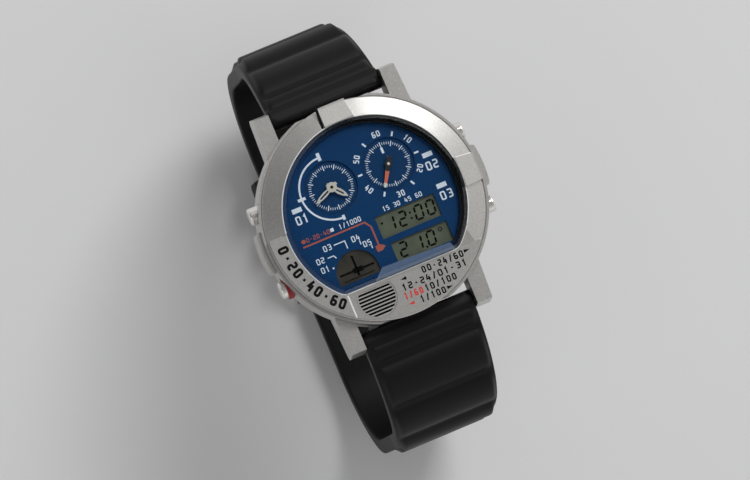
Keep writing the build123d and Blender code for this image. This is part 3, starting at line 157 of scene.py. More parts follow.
def mottle(material, colour, scale):
    """Second colour that comes and goes with a soft noise: scale in patches per millimetre."""
    nodes, links = material.node_tree.nodes, material.node_tree.links
    shader = nodes["Principled BSDF"]
    noise = nodes.new("ShaderNodeTexNoise")
    noise.inputs["Scale"].default_value = scale
    ramp = colour_ramp(nodes, [(MOTTLE_START, shader.inputs["Base Color"].default_value),
                               (MOTTLE_END, colour)])
    links.new(place_texture(material, (1, 1, 1)), noise.inputs["Vector"])
    links.new(noise.outputs["Fac"], ramp.inputs["Fac"])
    links.new(ramp.outputs["Color"], shader.inputs["Base Color"])
    return material


def clear_glass():
    """Glass that lets the lamps through and mirrors more at a slant."""
    material = bpy.data.materials.new("clear_glass")
    material.use_nodes = True
    nodes, links = material.node_tree.nodes, material.node_tree.links
    nodes.remove(nodes["Principled BSDF"])
    slant = nodes.new("ShaderNodeLayerWeight")
    slant.inputs["Blend"].default_value = 0.09
    clear = nodes.new("ShaderNodeBsdfTransparent")
    clear.inputs["Color"].default_value = (0.97, 0.985, 0.99, 1)
    mirror = nodes.new("ShaderNodeBsdfGlossy")
    mirror.inputs["Roughness"].default_value = 0.03
    mix = nodes.new("ShaderNodeMixShader")
    links.new(slant.outputs["Facing"], mix.inputs["Fac"])
    links.new(clear.outputs["BSDF"], mix.inputs[1])
    links.new(mirror.outputs["BSDF"], mix.inputs[2])
    links.new(mix.outputs["Shader"], nodes["Material Output"].inputs["Surface"])
    return material


HAND_SPAN = 4
HAND_HUB_REACH = 1.05
HAND_BODY_REACH = 2.75


def function_hand_material():
    """Hand that is black at its hub, orange along its body and silver at its pin."""
    orange = shown(0.84, 0.42, 0.30)
    material = surface("function_hand", orange, 0.4)
    nodes, links = material.node_tree.nodes, material.node_tree.links
    coordinates = nodes.new("ShaderNodeTexCoord")
    offset = nodes.new("ShaderNodeVectorMath")
    offset.operation = "SUBTRACT"
    offset.inputs[1].default_value = (FUNCTION_CENTRE[0] * MM, FUNCTION_CENTRE[1] * MM, 0)
    flat = nodes.new("ShaderNodeVectorMath")
    flat.operation = "MULTIPLY"
    flat.inputs[1].default_value = (1, 1, 0)
    reach = nodes.new("ShaderNodeVectorMath")
    reach.operation = "LENGTH"
    scaled = nodes.new("ShaderNodeMath")
    scaled.operation = "DIVIDE"
    scaled.inputs[1].default_value = HAND_SPAN * MM
    ramp = colour_ramp(nodes, [(0, shown(0.05, 0.05, 0.06)), (HAND_HUB_REACH / HAND_SPAN, orange),
                               (HAND_BODY_REACH / HAND_SPAN, shown(0.88, 0.87, 0.84))], "CONSTANT")
    links.new(coordinates.outputs["Object"], offset.inputs[0])
    links.new(offset.outputs["Vector"], flat.inputs[0])
    links.new(flat.outputs["Vector"], reach.inputs[0])
    links.new(reach.outputs["Value"], scaled.inputs[0])
    links.new(scaled.outputs["Value"], ramp.inputs["Fac"])
    links.new(ramp.outputs["Color"], nodes["Principled BSDF"].inputs["Base Color"])
    return material


# Painted shade on the wall under the glass: it darkens along this axis, over this span in millimetres.
WALL_SPAN = 26
WALL_SHADE_AXIS = (0.92, 0.38, 0)
WALL_SHADE_START = 0.3
WALL_SHADE_END = 0.75


def rim_material():
    """Wall under the glass: dial blue at the left, with a painted shadow that darkens it to near black at
    the upper right.
    """
    blue = shown(0.0, 0.20, 0.37)
    material = surface("rim_wall_painted_shade", blue, 0.45, Specular_IOR_Level=0.15)
    nodes, links = material.node_tree.nodes, material.node_tree.links
    coordinates = nodes.new("ShaderNodeTexCoord")
    along = nodes.new("ShaderNodeVectorMath")
    along.operation = "DOT_PRODUCT"
    along.inputs[1].default_value = [part / WALL_SPAN / MM for part in WALL_SHADE_AXIS]
    centred = nodes.new("ShaderNodeMath")
    centred.operation = "ADD"
    centred.inputs[1].default_value = 0.5
    ramp = colour_ramp(nodes, [(WALL_SHADE_START, blue), (WALL_SHADE_END, shown(0.01, 0.03, 0.06))])
    links.new(coordinates.outputs["Object"], along.inputs[0])
    links.new(along.outputs["Value"], centred.inputs[0])
    links.new(centred.outputs["Value"], ramp.inputs["Fac"])
    links.new(ramp.outputs["Color"], nodes["Principled BSDF"].inputs["Base Color"])
    return material


materials = {
    "case_metal": grain(mottle(surface("case_metal", shown(0.74, 0.735, 0.72), 0.33, 1.0),
                               shown(0.79, 0.785, 0.77), 4.0), 6, 0.012),
    "polished_metal": surface("polished_metal", shown(0.93, 0.92, 0.90), 0.16, 1.0),
    "grille_metal": grain(surface("grille_metal", shown(0.82, 0.815, 0.80), 0.32, 1.0), 5, 0.01),
    "back_metal": grain(surface("back_metal", shown(0.78, 0.77, 0.75), 0.3, 1.0), 4, 0.003, (1, 12, 1)),
    "strap_rubber": grain(surface("strap_rubber", shown(0.04, 0.04, 0.043), 0.48, Specular_IOR_Level=0.2),
                          6, 0.008),
    "seal_rubber": surface("seal_rubber", shown(0.06, 0.06, 0.06), 0.55),
    "red_collar": surface("red_collar", shown(0.60, 0.07, 0.08), 0.4),
    "mineral_glass": clear_glass(),
    "dial_blue": grain(surface("dial_blue", shown(0.0, 0.22, 0.40), 0.4, Specular_IOR_Level=0.15),
                       12, 0.002),
    "ring_dark": surface("ring_dark", shown(0.02, 0.06, 0.13), 0.35, Specular_IOR_Level=0.2),
    "subdial_blue": grain(surface("subdial_blue", shown(0.0, 0.21, 0.38), 0.45, Specular_IOR_Level=0.15),
                          12, 0.002),
    "display_green": mottle(surface("display_green", shown(0.39, 0.41, 0.33), 0.3),
                            shown(0.33, 0.35, 0.28), 0.4),
    "display_brown": mottle(surface("display_brown", shown(0.25, 0.22, 0.17), 0.3),
                            shown(0.17, 0.15, 0.12), 0.5),
    "hand_silver": surface("hand_silver", shown(0.90, 0.88, 0.83), 0.3, 0.6),
    "hand_orange": function_hand_material(),
    "brass": surface("brass", shown(0.80, 0.66, 0.36), 0.3, 1.0),
    "steel": surface("steel", shown(0.76, 0.76, 0.76), 0.25, 1.0),
    "frame_plastic": surface("frame_plastic", shown(0.16, 0.17, 0.18), 0.5),
    "board_green": surface("board_green", shown(0.10, 0.34, 0.20), 0.4),
    "chip_black": surface("chip_black", shown(0.07, 0.07, 0.075), 0.45),
    "coil_copper": grain(surface("coil_copper", shown(0.80, 0.46, 0.28), 0.3, 1.0), 10, 0.01, (1, 8, 1)),
    "lamp_glass": surface("lamp_glass", shown(0.90, 0.88, 0.80), 0.15),
    "ceramic_white": surface("ceramic_white", shown(0.88, 0.87, 0.84), 0.5),
}
white_ink = surface("white_ink", shown(0.90, 0.93, 0.97), 0.5)
orange_ink = surface("orange_ink", shown(0.68, 0.33, 0.26), 0.45)
# Black for print and the hub cap, and for the painted shade under the grille and in the groove.
black_print_and_shade = surface("black_print_and_shade", shown(0.0, 0.0, 0.0), 0.45, Specular_IOR_Level=0.15)
red_ink = surface("red_ink", shown(0.80, 0.20, 0.14), 0.45)
display_ink = surface("display_ink", shown(0.0, 0.0, 0.0), 0.35, Specular_IOR_Level=0.1)
rim_wall_painted_shade = rim_material()
# Near-white metal that paints highlights on the edge beads.
painted_highlight_metal = surface("painted_highlight_metal", shown(0.97, 0.97, 0.96), 0.3, 0.35)
# Pale see-through sheet that paints a reflection on the glass.
painted_reflection_glass = surface("painted_reflection_glass", shown(0.42, 0.50, 0.62), 0.3, Alpha=0.45)

for subpart in frame["record"]["subparts"]:
    slots = frame["nodes"][subpart["node"]].data.materials
    for index in range(len(slots)):
        slots[index] = materials[subpart["material_slot"]]
# The gasket and the dial ring take the wall's blue with its painted shadow.
for node in ("glass_gasket", "dial_ring"):
    frame["nodes"][node].data.materials[0] = rim_wall_painted_shade


# Edges of CAD nodes

GASKET_SHRINK = 0.02
EDGE_WIDTHS = {"mid_case": 0.1, "bezel": 0.1, "buckle_frame": 0.12, "buckle_tongue": 0.1}
EDGE_ANGLE = radians(40)

# The gasket shrinks a little so that its faces don't lie in the glass's.
shrink = frame["nodes"]["glass_gasket"].modifiers.new("shrink", "DISPLACE")
shrink.strength = -GASKET_SHRINK * MM
shrink.mid_level = 0

for node, width in EDGE_WIDTHS.items():
    edge = frame["nodes"][node].modifiers.new("edge", "BEVEL")
    edge.width = width * MM
    edge.segments = 2
    edge.limit_method = "ANGLE"
    edge.angle_limit = EDGE_ANGLE
    edge.harden_normals = True


# Meshes

def mesh_object(work, name):
    """Object in the scene out of a mesh drawn in millimetres."""
    bmesh.ops.recalc_face_normals(work, faces=work.faces)
    bmesh.ops.scale(work, vec=(MM, MM, MM), verts=work.verts)
    mesh = bpy.data.meshes.new(name)
    work.to_mesh(mesh)
    work.free()
    thing = bpy.data.objects.new(name, mesh)
    scene.collection.objects.link(thing)
    return thing


def finish_mesh(work, name, material, body, smooth=False):
    """Turn a mesh drawn in millimetres into a piece that rides on a body."""
    for face in work.faces:
        face.smooth = smooth
    piece = mesh_object(work, name)
    piece.data.materials.append(material)
    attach(piece, body)
    return piece


def join_rings(work, rings, closed=False):
    """Faces between rows of corners, and one over each end of an open run."""
    for first, second in zip(rings, rings[1:] + rings[:1] if closed else rings[1:]):
        for index in range(len(first)):
            following = (index + 1) % len(first)
            work.faces.new((first[index], first[following], second[following], second[index]))
    if not closed:
        work.faces.new(rings[0])
        work.faces.new(rings[-1])


def ink_outline(ink, points, height):
    """Add one closed outline as a thin raised shape."""
    face = ink.faces.new([ink.verts.new((x, y, height)) for x, y in points])
    raised = bmesh.ops.extrude_face_region(ink, geom=[face])["geom"]
    corners = [part for part in raised if isinstance(part, bmesh.types.BMVert)]
    bmesh.ops.translate(ink, vec=(0, 0, INK_THICKNESS), verts=corners)


def turned(points, centre, angle):
    """Points turned anticlockwise about the origin and then moved to a centre."""
    return [(centre[0] + x * cos(angle) - y * sin(angle), centre[1] + x * sin(angle) + y * cos(angle))
            for x, y in points]


def bar_outline(centre, length, width, angle=0.0):
    """Rectangle about a centre, with its length along the angle."""
    half, side = length / 2, width / 2
    return turned([(-half, -side), (half, -side), (half, side), (-half, side)], centre, angle)


def clock_point(centre, reach, degrees):
    """Point at a distance from a centre, at an angle clockwise from 12 o'clock."""
    return centre[0] + reach * sin(radians(degrees)), centre[1] + reach * cos(radians(degrees))


def radial_bar(centre, inner, outer, width, degrees):
    """Bar that points to a centre, between two distances from it."""
    return bar_outline(clock_point(centre, (inner + outer) / 2, degrees), outer - inner, width,
                       radians(90 - degrees))


def arc_outline(centre, reach, width, start, end, steps=48):
    """Part of a ring between two clock angles."""
    angles = [start + (end - start) * step / steps for step in range(steps + 1)]
    outer = [clock_point(centre, reach + width / 2, angle) for angle in angles]
    inner = [clock_point(centre, reach - width / 2, angle) for angle in reversed(angles)]
    return outer + inner


def disc_outline(centre, radius, steps=28):
    """Circle."""
    return [clock_point(centre, radius, CLOCK_TURN * step / steps) for step in range(steps)]


def arrow_outline(centre, length, height, angle=0.0):
    """Triangle that points along the angle."""
    return turned([(-length / 2, -height / 2), (length / 2, 0), (-length / 2, height / 2)], centre, angle)


MITRE_LIMIT = 0.3


def band_outline(points, width):
    """Outline of a bent line of even width, with mitred corners."""
    spots = [Vector(point) for point in points]
    runs = [(second - first).normalized() for first, second in zip(spots, spots[1:])]
    left, right = [], []
    for index, spot in enumerate(spots):
        before = runs[max(index - 1, 0)]
        after = runs[min(index, len(runs) - 1)]
        across = Vector((-before.y - after.y, before.x + after.x)).normalized()
        reach = width / 2 / max(across.dot(Vector((-after.y, after.x))), MITRE_LIMIT)
        left.append(spot + across * reach)
        right.append(spot - across * reach)
    return left + right[::-1]


def rounded_path(points, radius, steps=4):
    """Bent line with its inner corners rounded off."""
    spots = [Vector(point) for point in points]
    path = [spots[0]]
    for before, corner, after in zip(spots, spots[1:], spots[2:]):
        start = corner + (before - corner).normalized() * radius
        end = corner + (after - corner).normalized() * radius
        for step in range(steps + 1):
            share = step / steps
            path.append(start.lerp(corner, share).lerp(corner.lerp(end, share), share))
    return path + [spots[-1]]


def glyph_lines(letter, side, top, stroke):
    """Middle lines of one squared numeral, and whether their corners are round."""
    inner = side - stroke / 2
    waist = 0.04 * top
    bar = -top * 0.35
    upright = side * 0.5
    shapes = {
        "0": [([(0, -top), (side, -top), (side, top), (-side, top), (-side, -top), (0, -top)], True)],
        "1": [([(-side * 0.6, top * 0.55), (side * 0.1, top), (side * 0.1, -top - stroke / 2)], False)],
        "2": [([(-side, top), (side, top), (side, waist), (-side, -waist), (-side, -top),
                (side, -top)], True)],
        "3": [([(-side, top), (side, top), (side, -top), (-side, -top)], True),
              ([(-side * 0.4, 0), (inner, 0)], False)],
        "4": [([(-side * 0.2, top + stroke / 2), (-side, bar), (side * 1.2, bar)], False),
              ([(upright, bar - stroke / 2), (upright, -top - stroke / 2)], False),
              ([(upright, bar + stroke / 2), (upright, top * 0.45)], False)],
        "5": [([(side, top), (-side, top), (-side, top * 0.12), (side, top * 0.12), (side, -top),
                (-side, -top)], True)],
        "6": [([(side, top), (-side, top), (-side, -top), (side, -top), (side, waist),
                (-inner, waist)], True)],
        "/": [([(-side * 0.7, -top - stroke / 2), (side * 0.7, top + stroke / 2)], False)],
        "-": [([(-side * 0.6, 0), (side * 0.6, 0)], False)],
    }
    return shapes[letter]


LETTER_GAP_SHARE = 1.1
CORNER_SHARE = 0.55
STROKE_CORNER_SHARE = 0.72


def numeral_outlines(text, centre, height, angle=0.0, wide_share=0.62, stroke_share=0.16):
    """Squared numerals in one row about a centre."""
    stroke = height * stroke_share
    side = (height * wide_share - stroke) / 2
    top = (height - stroke) / 2
    advance = height * wide_share + stroke * LETTER_GAP_SHARE
    corner = max(min(side, top) * CORNER_SHARE, stroke * STROKE_CORNER_SHARE)
    outlines = []
    for index, letter in enumerate(text):
        shift = (index - (len(text) - 1) / 2) * advance
        for line, is_round in glyph_lines(letter, side, top, stroke):
            outline = band_outline(rounded_path(line, corner) if is_round else line, stroke)
            outlines.append(turned([(x + shift, y) for x, y in outline], centre, angle))
    return outlines


def label_outlines(labels, height, stroke_share=0.16):
    """Upright numerals for each text at its place."""
    outlines = []
    for text, spot in labels:
        outlines += numeral_outlines(text, spot, height, stroke_share=stroke_share)
    return outlines


def ink_piece(name, outlines, height, material, over=()):
    """One thin raised piece out of outlines on one level, and some that lie over them: print, caps, painted
    shade and a painted reflection.
    """
    ink = bmesh.new()
    for outline in outlines:
        ink_outline(ink, outline, height)
    for outline in over:
        ink_outline(ink, outline, height + INK_THICKNESS / 3)
    return finish_mesh(ink, name, material, "watch")


# Print on the hand dials

TICK_RING = 3.17
MINOR_TICK = 0.36
LONG_TICK = 0.62
LONG_TICK_OVERRUN = 0.12
MINOR_WIDTH = 0.085
LONG_WIDTH = 0.13
POINTER_START = 1.65
POINTER_END = 2.5
POINTER_WIDTH = 0.35


def tick_ring(centre):
    """Long ticks at the hours of a hand dial and short ones at its other minutes."""
    ticks = []
    for minute in range(MINUTES):
        angle = CLOCK_TURN * minute / MINUTES
        if minute % (MINUTES // HOURS):
            ticks.append(radial_bar(centre, TICK_RING - MINOR_TICK, TICK_RING, MINOR_WIDTH, angle))
        else:
            ticks.append(radial_bar(centre, TICK_RING - LONG_TICK, TICK_RING + LONG_TICK_OVERRUN,
                                    LONG_WIDTH, angle))
    return ticks


function_ticks = tick_ring(FUNCTION_CENTRE)
function_ticks.append(radial_bar(FUNCTION_CENTRE, POINTER_START, POINTER_END, POINTER_WIDTH, 0))
ink_piece("time_ticks", tick_ring(TIME_CENTRE), SUBDIAL_TOP, white_ink)
ink_piece("function_ticks", function_ticks, SUBDIAL_TOP, white_ink)


# Print round the hand dials: bars are a clock angle, a reach from the centre, a length and a width

ALARM_ARC = 4.52
ALARM_ARC_WIDTH = 0.27
ALARM_BARS = ((0, ALARM_ARC + 0.1, 0.5, 1.15), (270, ALARM_ARC, 1.15, 0.42), (180, ALARM_ARC, 0.4, 0.7))
MARK_START = 3.95
MARK_END = 4.62
MARK_WIDTH = 0.26
MARK_ANGLES = range(30, CLOCK_TURN, 60)
NUMBER_STEP = 10
NUMBER_REACH = 4.5
NUMBER_HEIGHT = 0.85
NUMBER_WIDE_SHARE = 0.58
NUMBER_STROKE_SHARE = 0.18

alarm_bars = [bar_outline(clock_point(TIME_CENTRE, reach, degrees), length, width)
              for degrees, reach, length, width in ALARM_BARS]
ink_piece("alarm_arc", [arc_outline(TIME_CENTRE, ALARM_ARC, ALARM_ARC_WIDTH, 180, CLOCK_TURN)],
          DIAL_TOP, white_ink, alarm_bars)

function_print = [radial_bar(FUNCTION_CENTRE, MARK_START, MARK_END, MARK_WIDTH, degrees)
                  for degrees in MARK_ANGLES]
for number in range(NUMBER_STEP, MINUTES + 1, NUMBER_STEP):
    degrees = CLOCK_TURN * number / MINUTES
    upright = -degrees if cos(radians(degrees)) > 0 else 180 - degrees
    spot = clock_point(FUNCTION_CENTRE, NUMBER_REACH, degrees)
    function_print += numeral_outlines(str(number), spot, NUMBER_HEIGHT, radians(upright),
                                       NUMBER_WIDE_SHARE, NUMBER_STROKE_SHARE)
ink_piece("function_numbers", function_print, DIAL_TOP, white_ink)


# Print on the dial, as texts and the middles of their places

BADGE_SPOTS = ((-10.1, 3.86), (9.96, 4.13), (10.13, -0.6))
BADGE_LENGTH = 1.45
BADGE_WIDTH = 0.68
BADGE_NUMBERS = (("01", (-9.9, 2.44)), ("02", (10.04, 2.55)), ("03", (10.3, -2.04)))
BADGE_HEIGHT = 1.27
BADGE_STROKE_SHARE = 0.17
DISPLAY_NUMBERS = (("15", (1.6, -0.6)), ("30", (3.25, -0.6)), ("45", (4.95, -0.6)), ("60", (6.6, -0.6)))
DISPLAY_NUMBER_HEIGHT = 0.68
SQUARE_SPOT = (-6.6, -0.52)
SQUARE_SIDE = 0.5
PARTS_NUMBER = (("1/1000", (-3.9, -0.55)),)
PARTS_HEIGHT = 0.72

side_print = [bar_outline(spot, BADGE_LENGTH, BADGE_WIDTH) for spot in BADGE_SPOTS]
side_print += label_outlines(BADGE_NUMBERS, BADGE_HEIGHT, BADGE_STROKE_SHARE)
side_print += label_outlines(DISPLAY_NUMBERS, DISPLAY_NUMBER_HEIGHT)
side_print.append(bar_outline(SQUARE_SPOT, SQUARE_SIDE, SQUARE_SIDE))
side_print += label_outlines(PARTS_NUMBER, PARTS_HEIGHT)
ink_piece("dial_numbers", side_print, DIAL_TOP, white_ink)

HEAT_LINE = ((-11.3, -1.3), (-1.95, -1.3), (-1.33, -2.2), (-1.33, -4.95))
HEAT_LINE_WIDTH = 0.24
HEAT_DOT = (-10.95, -0.55)
HEAT_DOT_RADIUS = 0.3
HEAT_ARROW = ((-1.85, -5.85), (-1.85, -4.95), (-1.1, -4.95), (-0.45, -5.4), (-1.1, -5.85))
HEAT_NUMBERS = (("0-20-40", (-8.75, -0.55)),)
HEAT_NUMBER_HEIGHT = 0.66

heat_print = [band_outline(HEAT_LINE, HEAT_LINE_WIDTH), disc_outline(HEAT_DOT, HEAT_DOT_RADIUS), HEAT_ARROW]
heat_print += label_outlines(HEAT_NUMBERS, HEAT_NUMBER_HEIGHT)
ink_piece("heat_line", heat_print, DIAL_TOP, orange_ink)

MODE_LINES = (((-7.2, -2.6), (-5.55, -2.6), (-5.55, -3.75)), ((-8.7, -3.95), (-7.8, -3.95), (-7.55, -4.4)),
              ((-3.6, -3.35), (-3.6, -3.95)), ((-2.3, -4.6), (-2.3, -5.05)))
MODE_LINE_WIDTH = 0.15
MODE_DOT = (-8.5, -5.55)
MODE_DOT_RADIUS = 0.14
MODE_NUMBERS = (("03", (-8.2, -2.6)), ("02", (-9.8, -3.95)), ("01", (-9.65, -5.3)), ("04", (-4.0, -2.85)),
                ("05", (-2.75, -4.1)))
MODE_NUMBER_HEIGHT = 0.85

mode_print = [band_outline(line, MODE_LINE_WIDTH) for line in MODE_LINES]
mode_print.append(disc_outline(MODE_DOT, MODE_DOT_RADIUS))
mode_print += label_outlines(MODE_NUMBERS, MODE_NUMBER_HEIGHT)
ink_piece("mode_labels", mode_print, DIAL_TOP, white_ink)


# Display segments

SEGMENT_WIDTH = 0.3
SEGMENT_GAP = 0.05
SLANT = tan(radians(6))
DIGIT_WIDTH = 1.05
DIGIT_HEIGHT = 1.95
LIT = {"0": "abcdef", "1": "bc", "2": "abdeg"}
UPPER_DIGITS = (("1", (1.45, -2.85)), ("2", (3.3, -2.85)), ("0", (5.75, -2.85)), ("0", (7.55, -2.85)))
LOWER_DIGITS = (("2", (1.75, -6.85)), ("1", (3.95, -6.85)), ("0", (5.95, -6.85)))
COLON_SPOTS = ((4.55, -2.45), (4.5, -3.25))
POINT_SPOT = (4.95, -7.8)
DOT_SIDE = 0.28
DASH_SPOT = (0.3, -2.35)
DASH_LENGTH = 0.34
DASH_WIDTH = 0.26
DEGREE_SPOT = (7.55, -6.2)
DEGREE_RADIUS = 0.26
DEGREE_WIDTH = 0.13


def segment(start, end):
    """Pointed bar between two corners of a digit."""
    along = (Vector(end) - Vector(start)).normalized()
    across = Vector((-along.y, along.x)) * SEGMENT_WIDTH / 2
    start = Vector(start) + along * SEGMENT_GAP
    end = Vector(end) - along * SEGMENT_GAP
    tip = along * SEGMENT_WIDTH / 2
    return [start, start + tip - across, end - tip - across, end, end - tip + across, start + tip + across]


def digit_outlines(digits):
    """Lit segments of digits at their places, slanted a little."""
    side, top = DIGIT_WIDTH / 2, DIGIT_HEIGHT / 2
    corners = {"a": ((-side, top), (side, top)), "b": ((side, top), (side, 0)),
               "c": ((side, 0), (side, -top)), "d": ((-side, -top), (side, -top)),
               "e": ((-side, 0), (-side, -top)), "f": ((-side, top), (-side, 0)),
               "g": ((-side, 0), (side, 0))}
    outlines = []
    for digit, centre in digits:
        for name in LIT[digit]:
            outlines.append([(centre[0] + point.x + point.y * SLANT, centre[1] + point.y)
                             for point in segment(*corners[name])])
    return outlines


display_print = digit_outlines(UPPER_DIGITS)
display_print += [bar_outline(spot, DOT_SIDE, DOT_SIDE) for spot in COLON_SPOTS]
display_print.append(bar_outline(DASH_SPOT, DASH_LENGTH, DASH_WIDTH))
display_print += digit_outlines(LOWER_DIGITS) + [bar_outline(POINT_SPOT, DOT_SIDE, DOT_SIDE)]
display_print.append(arc_outline(DEGREE_SPOT, DEGREE_RADIUS, DEGREE_WIDTH, 0, CLOCK_TURN - 1))
ink_piece("display_digits", display_print, DISPLAY_TOP, display_ink)

# Marks on the arch display: middle, length, width and angle
ARCH_X = -5.45
ARCH_BARS = (((ARCH_X, -6.35), 3.0, 0.34, pi / 2), ((-5.3, -7.0), 1.5, 0.75, 0),
             ((ARCH_X, -8.0), 4.6, 0.12, 0))
ARCH_CROSSBAR = ((ARCH_X, -7.0), 5.2, 0.3, 0)
ink_piece("arch_marks", [bar_outline(*bar) for bar in ARCH_BARS], ARCH_TOP, display_ink,
          [bar_outline(*ARCH_CROSSBAR)])


# Print on the bezel

PLATE_TEXT = "0-20-40-60"
PLATE_TEXT_REACH = 14.25
PLATE_TEXT_HEIGHT = 1.6
PLATE_TEXT_START = 267.5
PLATE_TEXT_STEP = 5.1
PLATE_WIDE_SHARE = 0.62
PLATE_STROKE_SHARE = 0.24

plate_print = []
for index, letter in enumerate(PLATE_TEXT):
    degrees = PLATE_TEXT_START - index * PLATE_TEXT_STEP
    spot = clock_point((0, 0), PLATE_TEXT_REACH, degrees)
    plate_print += numeral_outlines(letter, spot, PLATE_TEXT_HEIGHT, radians(180 - degrees),
                                    PLATE_WIDE_SHARE, PLATE_STROKE_SHARE)
ink_piece("plate_numbers", plate_print, PLATE_LEFT_TOP, black_print_and_shade)

ARROW_LENGTH = 0.9
ARROW_HEIGHT = 0.5
BUTTON_ARROWS = (((9.66, -10.4), 0), ((-0.17, -10.7), pi), ((5.5, -14.2), 0))
BUTTON_ROWS = (("00-24/60", (5.86, -10.56), 0.6), ("12-24/01-31", (4.06, -11.85), 0.7),
               ("10/100", (4.5, -13.1), 0.62), ("1/100", (2.85, -14.3), 0.6))
BUTTON_HEIGHT = 0.98
BUTTON_STROKE_SHARE = 0.21
LIGHT_SPOT = (0.4, -13.1)
LIGHT_WIDE_SHARE = 0.54
LIGHT_STROKE_SHARE = 0.22
LIGHT_ARROW = (-0.44, -14.3)

button_print = [arrow_outline(spot, ARROW_LENGTH, ARROW_HEIGHT, angle) for spot, angle in BUTTON_ARROWS]
for text, spot, wide_share in BUTTON_ROWS:
    button_print += numeral_outlines(text, spot, BUTTON_HEIGHT, 0.0, wide_share, BUTTON_STROKE_SHARE)
ink_piece("button_marks", button_print, PLATE_LOW_TOP, black_print_and_shade)

light_print = numeral_outlines("1/60", LIGHT_SPOT, BUTTON_HEIGHT, 0.0, LIGHT_WIDE_SHARE, LIGHT_STROKE_SHARE)
light_print.append(arrow_outline(LIGHT_ARROW, ARROW_LENGTH, ARROW_HEIGHT, pi))
ink_piece("light_marks", light_print, PLATE_LOW_TOP, red_ink)


# Black sheets of painted shade: under the grille, which darkens its slots, and on the floor of the groove
# beside the 12 o'clock tab

GRILLE_CENTRE = Vector((-4.6, -11.75))
GRILLE_SHADE_RADIUS = 2.7
GRILLE_SHADE_REACH = 1.4
GRILLE_SHADE_STEPS = 60
GROOVE_SHADE_OUTLINE = ((-2.68, 12.95), (-2.27, 12.95), (-2.02, 16.2), (-2.43, 16.2))
GROOVE_SHADE_TOP = BACK + 7.75

grille_shade_outline = [(x, min(y, GRILLE_CENTRE.y + GRILLE_SHADE_REACH))
                for x, y in disc_outline(GRILLE_CENTRE, GRILLE_SHADE_RADIUS, GRILLE_SHADE_STEPS)]
# Black disc under the grille: painted shade in its slots.
ink_piece("grille_painted_shade", [grille_shade_outline], low_of("sensor_grille"), black_print_and_shade)
# Black sheet on the groove's floor: painted shade.
ink_piece("groove_painted_shade", [GROOVE_SHADE_OUTLINE], GROOVE_SHADE_TOP, black_print_and_shade)


# Beads along the edges of the window, the plates and the tabs, in a near-white metal: real edges with
# painted highlights

WINDOW_RADIUS = 13.0
WINDOW_CHORD = 9.65
WINDOW_CORNER = 1.5
CONE_TOP = BACK + 8.2
CONE_ARC = (-84, 125)
LEFT_PLATE_ARC = (276, 221)
LOWER_PLATE_ARC = (220, 122)
LOWER_PLATE_SLOPE = 0.39
PLATE_WALL_X = -8.25
PLATE_WALL_ENDS = (-9.9, -13.2)
PLATE_WALL_WIDTH = 0.24
TRIM_WIDTH = 0.15
TRIM_RISE = 0.06
TRIM_STEP = 2
TAB_EDGE = ((2.2, 13.05, BACK + 8.58), (1.97, 15.55, BACK + 7.4))
TAB_EDGE_WIDTH = 0.12
TAB_EDGE_RISE = 0.02


def window_spot(degrees, outset):
    """Point of the window's outline at a clock angle, moved outwards."""
    radius, chord, corner = WINDOW_RADIUS + outset, WINDOW_CHORD + outset, WINDOW_CORNER + outset
    ahead = Vector((sin(radians(degrees)), cos(radians(degrees))))
    corner_y = corner - chord
    corner_x = sqrt((radius - corner) ** 2 - corner_y ** 2)
    if ahead.y * corner_x > abs(ahead.x) * corner_y:
        return ahead * radius
    if -ahead.y * corner_x > abs(ahead.x) * chord:
        return ahead * chord / -ahead.y
    middle = Vector((corner_x if ahead.x > 0 else -corner_x, corner_y))
    along = middle.dot(ahead)
    return ahead * (along + sqrt(along ** 2 - middle.length_squared + corner ** 2))


def lower_plate_height(spot):
    """Height of the lower plate, which rises to the cone at its right end."""
    return min(PLATE_LOW_TOP + max(spot.y + WINDOW_CHORD, 0) * LOWER_PLATE_SLOPE, CONE_TOP)


def window_path(arc, height):
    """Points beside the window's edge between two clock angles."""
    start, end = arc
    steps = int(abs(end - start) / TRIM_STEP)
    spots = [window_spot(start + (end - start) * step / steps, TRIM_WIDTH / 2) for step in range(steps + 1)]
    return [Vector((spot.x, spot.y, height(spot))) for spot in spots]


def bead(trim, path, width, rise):
    """Ridge with a narrow top along a path in space, half sunk into what is under it."""
    rows = []
    lift = Vector((0, 0, rise))
    for index, spot in enumerate(path):
        run = path[min(index + 1, len(path) - 1)] - path[max(index - 1, 0)]
        across = Vector((-run.y, run.x, 0)).normalized() * width / 2
        rows.append([trim.verts.new(corner) for corner in
                     (spot + across - lift, spot + across, spot + across / 3 + lift,
                      spot - across / 3 + lift, spot - across, spot - across - lift)])
    join_rings(trim, rows)


trim = bmesh.new()
bead(trim, window_path(CONE_ARC, lambda spot: CONE_TOP), TRIM_WIDTH, TRIM_RISE)
bead(trim, window_path(LEFT_PLATE_ARC, lambda spot: PLATE_LEFT_TOP), TRIM_WIDTH, TRIM_RISE)
bead(trim, window_path(LOWER_PLATE_ARC, lower_plate_height), TRIM_WIDTH, TRIM_RISE)
bead(trim, [Vector((PLATE_WALL_X - PLATE_WALL_WIDTH / 2, y, PLATE_LEFT_TOP)) for y in PLATE_WALL_ENDS],
     PLATE_WALL_WIDTH, TRIM_RISE)
# Painted highlights on the sides of the 12 and 3 o'clock tabs that face the light.
for degrees, side in ((0, 1), (90, -1)):
    turn = Matrix.Rotation(-radians(degrees), 3, "Z")
    bead(trim, [turn @ Vector((side * x, y, z)) for x, y, z in TAB_EDGE], TAB_EDGE_WIDTH, TAB_EDGE_RISE)
finish_mesh(trim, "window_highlight_trim", painted_highlight_metal, "watch")


# Painted reflection as a pale band in the glass along its straight edge, and caps on the hands' arbors

